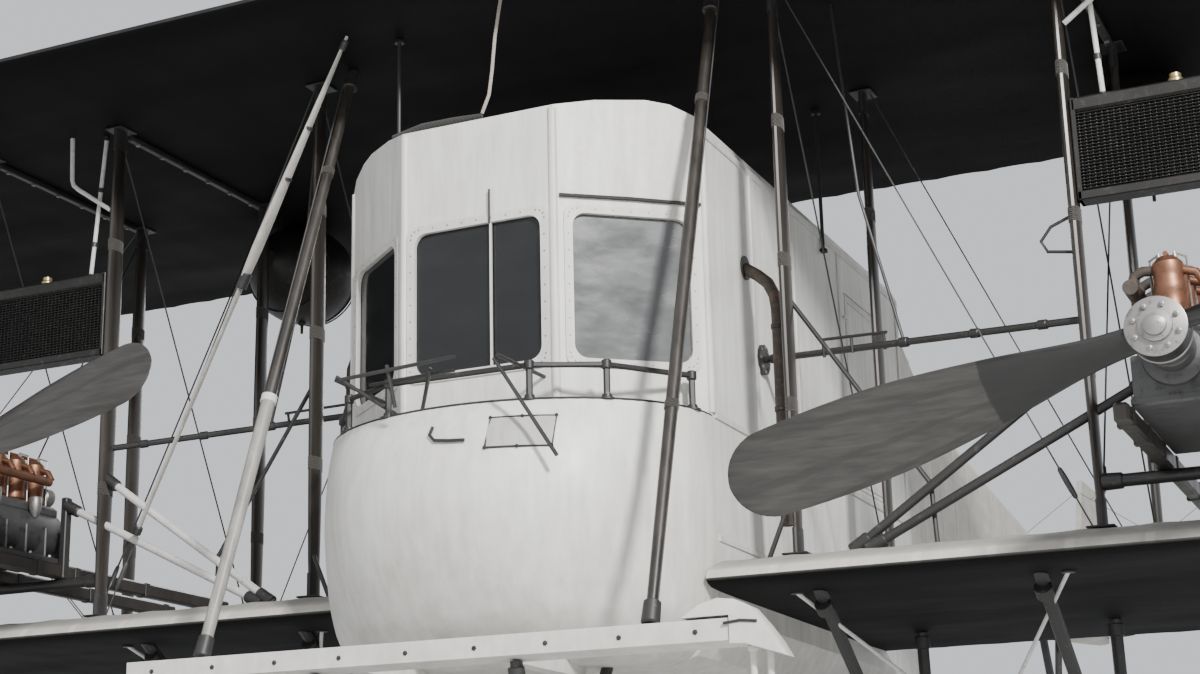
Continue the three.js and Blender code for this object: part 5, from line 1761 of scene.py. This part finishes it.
hatch = Shape()
for k in range(HATCH_ROWS):
    for i in range(HATCH_COLUMNS):
        x0, x1 = (between(HATCH_X, (i + d) / HATCH_COLUMNS) for d in (0, 1))
        z0, z1 = (between(HATCH_Z, (k + d) / HATCH_ROWS) for d in (0, 1))
        corners = [(x0, z0), (x1, z0), (x1, z1), (x0, z1)]
        hatch.loft([[on_tub(x, z, out) for x, z in corners] for out in (0.001, 0.005)])
edge = [(0.26, 2.60), (0.42, 2.60), (0.58, 2.60), (0.58, 2.77), (0.42, 2.77), (0.26, 2.77), (0.26, 2.60)]
hatch.tube([on_tub(x, z, 0.006) for x, z in edge], 0.006, 8, 1)
for x, z in edge[:-1]:
    hatch.turned(on_tub(x, z, 0.008), AHEAD, [(0, 0.010), (0.004, 0.010), (0.006, 0.005)], 10, 1)
handle = [(-0.05, 2.745), (-0.055, 2.70), (-0.02, 2.665), (0.06, 2.655), (0.15, 2.650)]
hatch.tube([on_tub(x, z, 0.014) for x, z in handle], 0.009, 8, 1)
build(hatch, "bow_hatch", [GREY_PATCH, FRAME_STEEL])

# %% [markdown]
# A rolled strip of canvas lies on the edge of the roof, and a cord runs from it up to the wing. Cloth
# could be simulated and rolled, but a tube whose radius changes from point to point is enough for a tight
# roll of this size.

# %% Roof strap
strap = Shape()
roll = [(-0.60, 0.12, 4.625), (-0.40, 0.10, 4.642), (-0.20, 0.12, 4.652), (-0.02, 0.11, 4.648)]
strap.tube([at(*p) for p in roll], [0.014, 0.024, 0.022, 0.012], 12)
cord = [(-0.02, 0.11, 4.66), (0.03, 0.10, 4.76), (0.05, 0.10, 4.90), (0.07, 0.10, 5.10),
        (0.10, 0.12, UNDER_WING)]
strap.tube([at(*p) for p in cord], 0.010, 8, 1)
build(strap, "roof_strap", [DARK_CANVAS, PALE_ROPE])

# %% [markdown]
# Steel wires cross between the strut pairs and keep the wing cells square: doubled where they carry
# flight loads, single where they only hold the wings up on the ground. Each could be a curve, but dozens
# of loose objects are hard to keep in order, so the loops lay them all into one mesh.

# %% Wires between the strut pairs
CELLS = [(1.495, 3.055), (4.165, 7.445), (8.555, 11.90)]
WIRE_TOP = UPPER_Z - 0.015
THIN_WIRE, FIN_WIRE = 0.0045, 0.0035
wires = Shape()
for side in SIDES.values():
    for inner_x, outer_x in CELLS:
        for y, foot_z in STRUT_FEET.values():
            low_in, low_out = (at(side * x, y, foot_z + 0.02) for x in (inner_x, outer_x))
            top_in, top_out = (at(side * x, y, WIRE_TOP) for x in (inner_x, outer_x))
            inward = Vector((side * 0.05, 0, 0))
            stay(wires, low_out - inward, top_in + inward, THIN_WIRE, 0)
            for shift in (-0.018, 0.018) if inner_x > CELLS[0][0] else ():
                beside = Vector((0, shift, 0))
                stay(wires, low_in + inward + beside, top_out - inward + beside, THIN_WIRE, 0)
    for y in (FRONT_Y, REAR_Y):
        stay(wires, at(side * 14.34, y, 5.33), at(side * 12.05, y, 2.13), THIN_WIRE, 0, turnbuckle=False)
        stay(wires, at(side * 12.05, y, 2.13), at(side * 16.2, y, 5.36), THIN_WIRE, 0)
    for fin_z in (5.30, 4.50):
        for high_x, low_x in ((0.035, 1.865), (1.865, 0.035)):
            high, low = at(side * high_x, 16.30, fin_z), at(side * low_x, 16.30, 4.02)
            stay(wires, high, low, FIN_WIRE, 0, turnbuckle=False)
    stay(wires, at(side * 0.20, 15.7, 3.44), at(side * 4.0, 16.2, 3.90), THIN_WIRE, 0)
    stay(wires, at(side * 0.14, 16.7, 3.52), at(side * 4.0, 16.9, 3.90), THIN_WIRE, 0)
build(wires, "cell_wires", [WIRE_STEEL])

# %% [markdown]
# On the starboard side a pale strut leans from the engine tubes to the wing. It tapers at both ends and
# is bound with dark bands, with a dark joint below its middle. A plain strut could be scaled to fit, but
# its swelling is off centre, so its width is read from a short table over the same drop section.

# %% Leaning strut of the starboard cell
LEAN_FOOT, LEAN_TOP = (-2.74, 0.68, 2.60), (-0.95, 0.17, UNDER_WING - 0.001)
LEAN_WIDTH = [(0.0, 0.010), (0.30, 0.012), (0.50, 0.014), (0.55, 0.026), (0.62, 0.027), (0.80, 0.019),
              (1.0, 0.008)]
LEAN_BANDS = [(0.0, 0.024, 0.05), (0.505, 0.032, 0.10), (0.72, 0.029, 0.02), (0.82, 0.025, 0.02),
              (0.975, 0.018, 0.06)]
lean = Shape()
foot, top = at(*LEAN_FOOT), at(*LEAN_TOP)
rings = []
for i in range(25):
    share = i / 24
    half = smooth_between(LEAN_WIDTH, share)[0]
    rings.append(drop_section(foot.lerp(top, share), half, half * 1.7))
lean.loft(rings)
for share, half, length in LEAN_BANDS:
    band = [(0, half), (0.004, half + 0.003), (length - 0.004, half + 0.003), (length, half)]
    lean.turned(foot.lerp(top, share), top - foot, band, 14, 1)
build(lean, "leaning_strut_starboard", [PALE_LATH, FRAME_STEEL])

# %% [markdown]
# Round rods stand around the cabin: thin posts from the roof to the wing, a diagonal brace with a short
# post under it, and a bracket on the control tube. Each could be a piece of its own, but one table with
# their ends and thickness holds them.

# %% Rods and posts
ROOF_POSTS = {"port": [(1.135, 2.62, 4.38)], "starboard": [(1.135, 2.62, 4.38), (0.70, 0.36, 4.655)]}
ROD_TABLE = [((1.50, 0.82, 3.52), (2.21, 0.80, 2.43), 0.013),
             ((2.205, 0.80, 2.45), (2.22, 0.80, 2.11), 0.013),
             ((1.46, 0.70, 2.36), (1.35, 0.70, 2.105), 0.014),
             ((1.52, 1.22, 3.40), (1.94, 1.10, 3.36), 0.009),
             ((1.54, 1.215, 3.40), (1.54, 1.235, 3.30), 0.009),
             ((1.92, 1.105, 3.36), (1.92, 1.125, 3.27), 0.009),
             ((1.72, 1.165, 3.38), (1.72, 1.175, 3.29), 0.009)]
POST_FOOT = [(0, 0.030), (0.020, 0.026), (0.024, 0.013)]
rods = Shape()
for side_name, side in SIDES.items():
    for x, y, z in ROOF_POSTS[side_name]:
        rods.tube([at(side * x, y, z), at(side * x, y, UNDER_WING)], 0.012, 10)
        for height in (z, UNDER_WING - 0.024):
            rods.turned(at(side * x, y, height), UP, POST_FOOT, 14)
    for (x0, y0, z0), (x1, y1, z1), thick in ROD_TABLE:
        rods.tube([at(side * x0, y0, z0), at(side * x1, y1, z1)], thick, 8)
build(rods, "cabin_rods", [FRAME_STEEL])

# %% [markdown]
# A rounded dark tank hangs under the upper wing behind each inner engine bay. Petrol ran from it to the
# engines by its own weight. A stretched sphere would be too pointed. Its rings shrink quickly to a blunt
# end instead, and the top is cut flat where it meets the wing.

# %% Tanks under the wing
TANK_MIDDLE, TANK_HALF = (3.12, 3.12, 5.00), (0.39, 0.50, 0.37)


def tank_ring(side, share, swell, angles, shift=0.0):
    """A section of the tank at a share of its length, cut flat under the wing."""
    x, y, z = side * TANK_MIDDLE[0], TANK_MIDDLE[1], TANK_MIDDLE[2]
    place = y + TANK_HALF[1] * (2 * share - 1) + shift
    return [at(x + TANK_HALF[0] * swell * math.cos(t), place,
               min(UNDER_WING, z + TANK_HALF[2] * swell * math.sin(t))) for t in angles]


for side_name, side in SIDES.items():
    tank = Shape()
    shares = [i / 20 for i in range(21)]
    tank.loft([tank_ring(side, s, max(0.05, math.sin(math.pi * s)) ** 0.55, turns(36)) for s in shares])
    for share in (0.30, 0.70):
        swell = math.sin(math.pi * share) ** 0.55 + 0.012
        for shift in (0.0, 0.03):
            strap_turns = turns(37, math.pi * 0.9, 1.25 * math.pi)
            tank.tube(tank_ring(side, share, swell, strap_turns, shift), 0.006, 6, 1)
    drain = [(0, 0.03), (0.02, 0.03), (0.03, 0.012), (0.09, 0.011)]
    drain_top = TANK_MIDDLE[2] - TANK_HALF[2] + 0.005
    tank.turned(at(side * TANK_MIDDLE[0], TANK_MIDDLE[1], drain_top), DOWN, drain, 14, 1)
    build(tank, f"gravity_tank_{side_name}", [RADIATOR_METAL, FRAME_STEEL])

# %% [markdown]
# Control horns are small steel plates, cut to a point, that stand on the moving surfaces and take the
# cables that move them. A cone would do from afar. Two outlines of four corners make a true thin plate, and
# it rides on the body of its surface, so that it swings along.

# %% Control horns
HORNS = [("elevator", [(-3.2, 17.16, 3.985), (3.2, 17.16, 3.985)]),
         ("aileron_port", [(13.3, 3.47, 5.43)]), ("aileron_starboard", [(-13.3, 3.47, 5.43)])]
HORN_PLATE = [(-0.03, 0), (0.10, -0.006), (0.012, 0.16), (-0.012, 0.16)]
for body, places in HORNS:
    horns = Shape()
    for x, y, z in places:
        horns.loft([[at(x + dx, y + dy, z + dz) for dy, dz in HORN_PLATE] for dx in (-0.003, 0.003)])
        horns.turned(at(x - 0.006, y, z + 0.145), ACROSS, [(0, 0.008), (0.012, 0.008)], 8)
    build(horns, body + "_horns", [FRAME_STEEL], body)

# %% [markdown]
# Inside the cabin there are two bare wooden seats, a shelf of dials and a large control wheel in front of
# each seat, seen dimly through the panes. A picture behind the glass would look flat when the view moves,
# so they are simple but whole: blocks with wide chamfers as worn wood, and closed tubes as the wheels.

# %% Seats and controls
CABIN_FLOOR_TOP = 2.5405
SEAT_PLACES = (-0.52, 0.52)
seats = Shape()
for x in SEAT_PLACES:
    seats.block(at(x - 0.24, 1.55, 2.90), at(x + 0.24, 2.00, 3.00), 0, 0.03)
    seats.block(at(x - 0.24, 1.98, 2.96), at(x + 0.24, 2.06, 3.50), 0, 0.03)
    for dx in (-0.21, 0.21):
        for y in (1.58, 1.98):
            seats.tube([at(x + dx, y, CABIN_FLOOR_TOP), at(x + dx, y, 2.91)], 0.016, 8, 1)
build(seats, "crew_seats", [ASH_WOOD, FRAME_STEEL])
controls = Shape()
for x in SEAT_PLACES:
    centre = at(x, 1.02, 3.28)
    wheel_path = [centre + Vector((0.24 * math.cos(t), 0.04 * math.sin(t), 0.24 * math.sin(t)))
                  for t in turns(32)]
    controls.tube(wheel_path + wheel_path[:1], 0.014, 8, 0, caps=False)
    for t in turns(4, math.pi / 4):
        spoke = Vector((0.235 * math.cos(t), 0.04 * math.sin(t), 0.235 * math.sin(t)))
        controls.tube([centre, centre + spoke], 0.009, 6, 1)
    controls.tube([centre, at(x, 0.98, CABIN_FLOOR_TOP)], 0.022, 10, 1)
controls.block(at(-0.85, 0.62, 3.06), at(0.85, 0.80, 3.10), 2, 0.006)
for x in (-0.6, -0.35, -0.1, 0.2, 0.45, 0.7):
    controls.turned(at(x, 0.80, 3.17), AFT, [(-0.03, 0.05), (-0.004, 0.052), (0, 0.046)], 20, 1)
    controls.block(at(x - 0.01, 0.76, 3.09), at(x + 0.01, 0.78, 3.14), 1, 0.002)
build(controls, "flight_controls", [ASH_WOOD, FRAME_STEEL, FLOOR_PLY])

# %% [markdown]
# The door on the port side gets battens and a latch with its handle. They could be cut into the door's
# solid, but as thin bars on it they catch the light. They ride on the door's body, so they swing with it.

# %% Door fittings
door = Shape()
for z in (2.965, 3.56, 4.175):
    door.block(at(1.116, 3.07, z), at(1.124, 3.73, z + 0.045), 0, 0.002)
for y in (3.068, 3.690):
    door.block(at(1.116, y, 2.96), at(1.1235, y + 0.045, 4.20), 0, 0.002)
latch = [(0, 0.022), (0.004, 0.022), (0.006, 0.010), (0.030, 0.009)]
door.turned(at(1.122, 3.66, 3.52), ACROSS, latch, 14, 1)
door.tube([at(1.150, 3.66, 3.52), at(1.150, 3.60, 3.50), at(1.150, 3.55, 3.495)], 0.008, 8, 1)
build(door, "door_fittings", [TRIM_PAINT, BRASS], "cabin_door")

# %% [markdown]
# Last, the two boxes are printed: that of the solids and that of the dressed model. They should agree, since
# a finish is not meant to make the aircraft bigger.

# %% Sizes and the end
shown_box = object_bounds()
for cad_corner, shown_corner in zip(cad_box, shown_box):
    print("growth", [round(b - a, 4) for a, b in zip(cad_corner, shown_corner)])
triangles = 0
for obj in bpy.data.objects:
    if obj.type == "MESH" and not obj.hide_render:
        obj.data.calc_loop_triangles()
        triangles += len(obj.data.loop_triangles)
print("triangles shown", triangles)
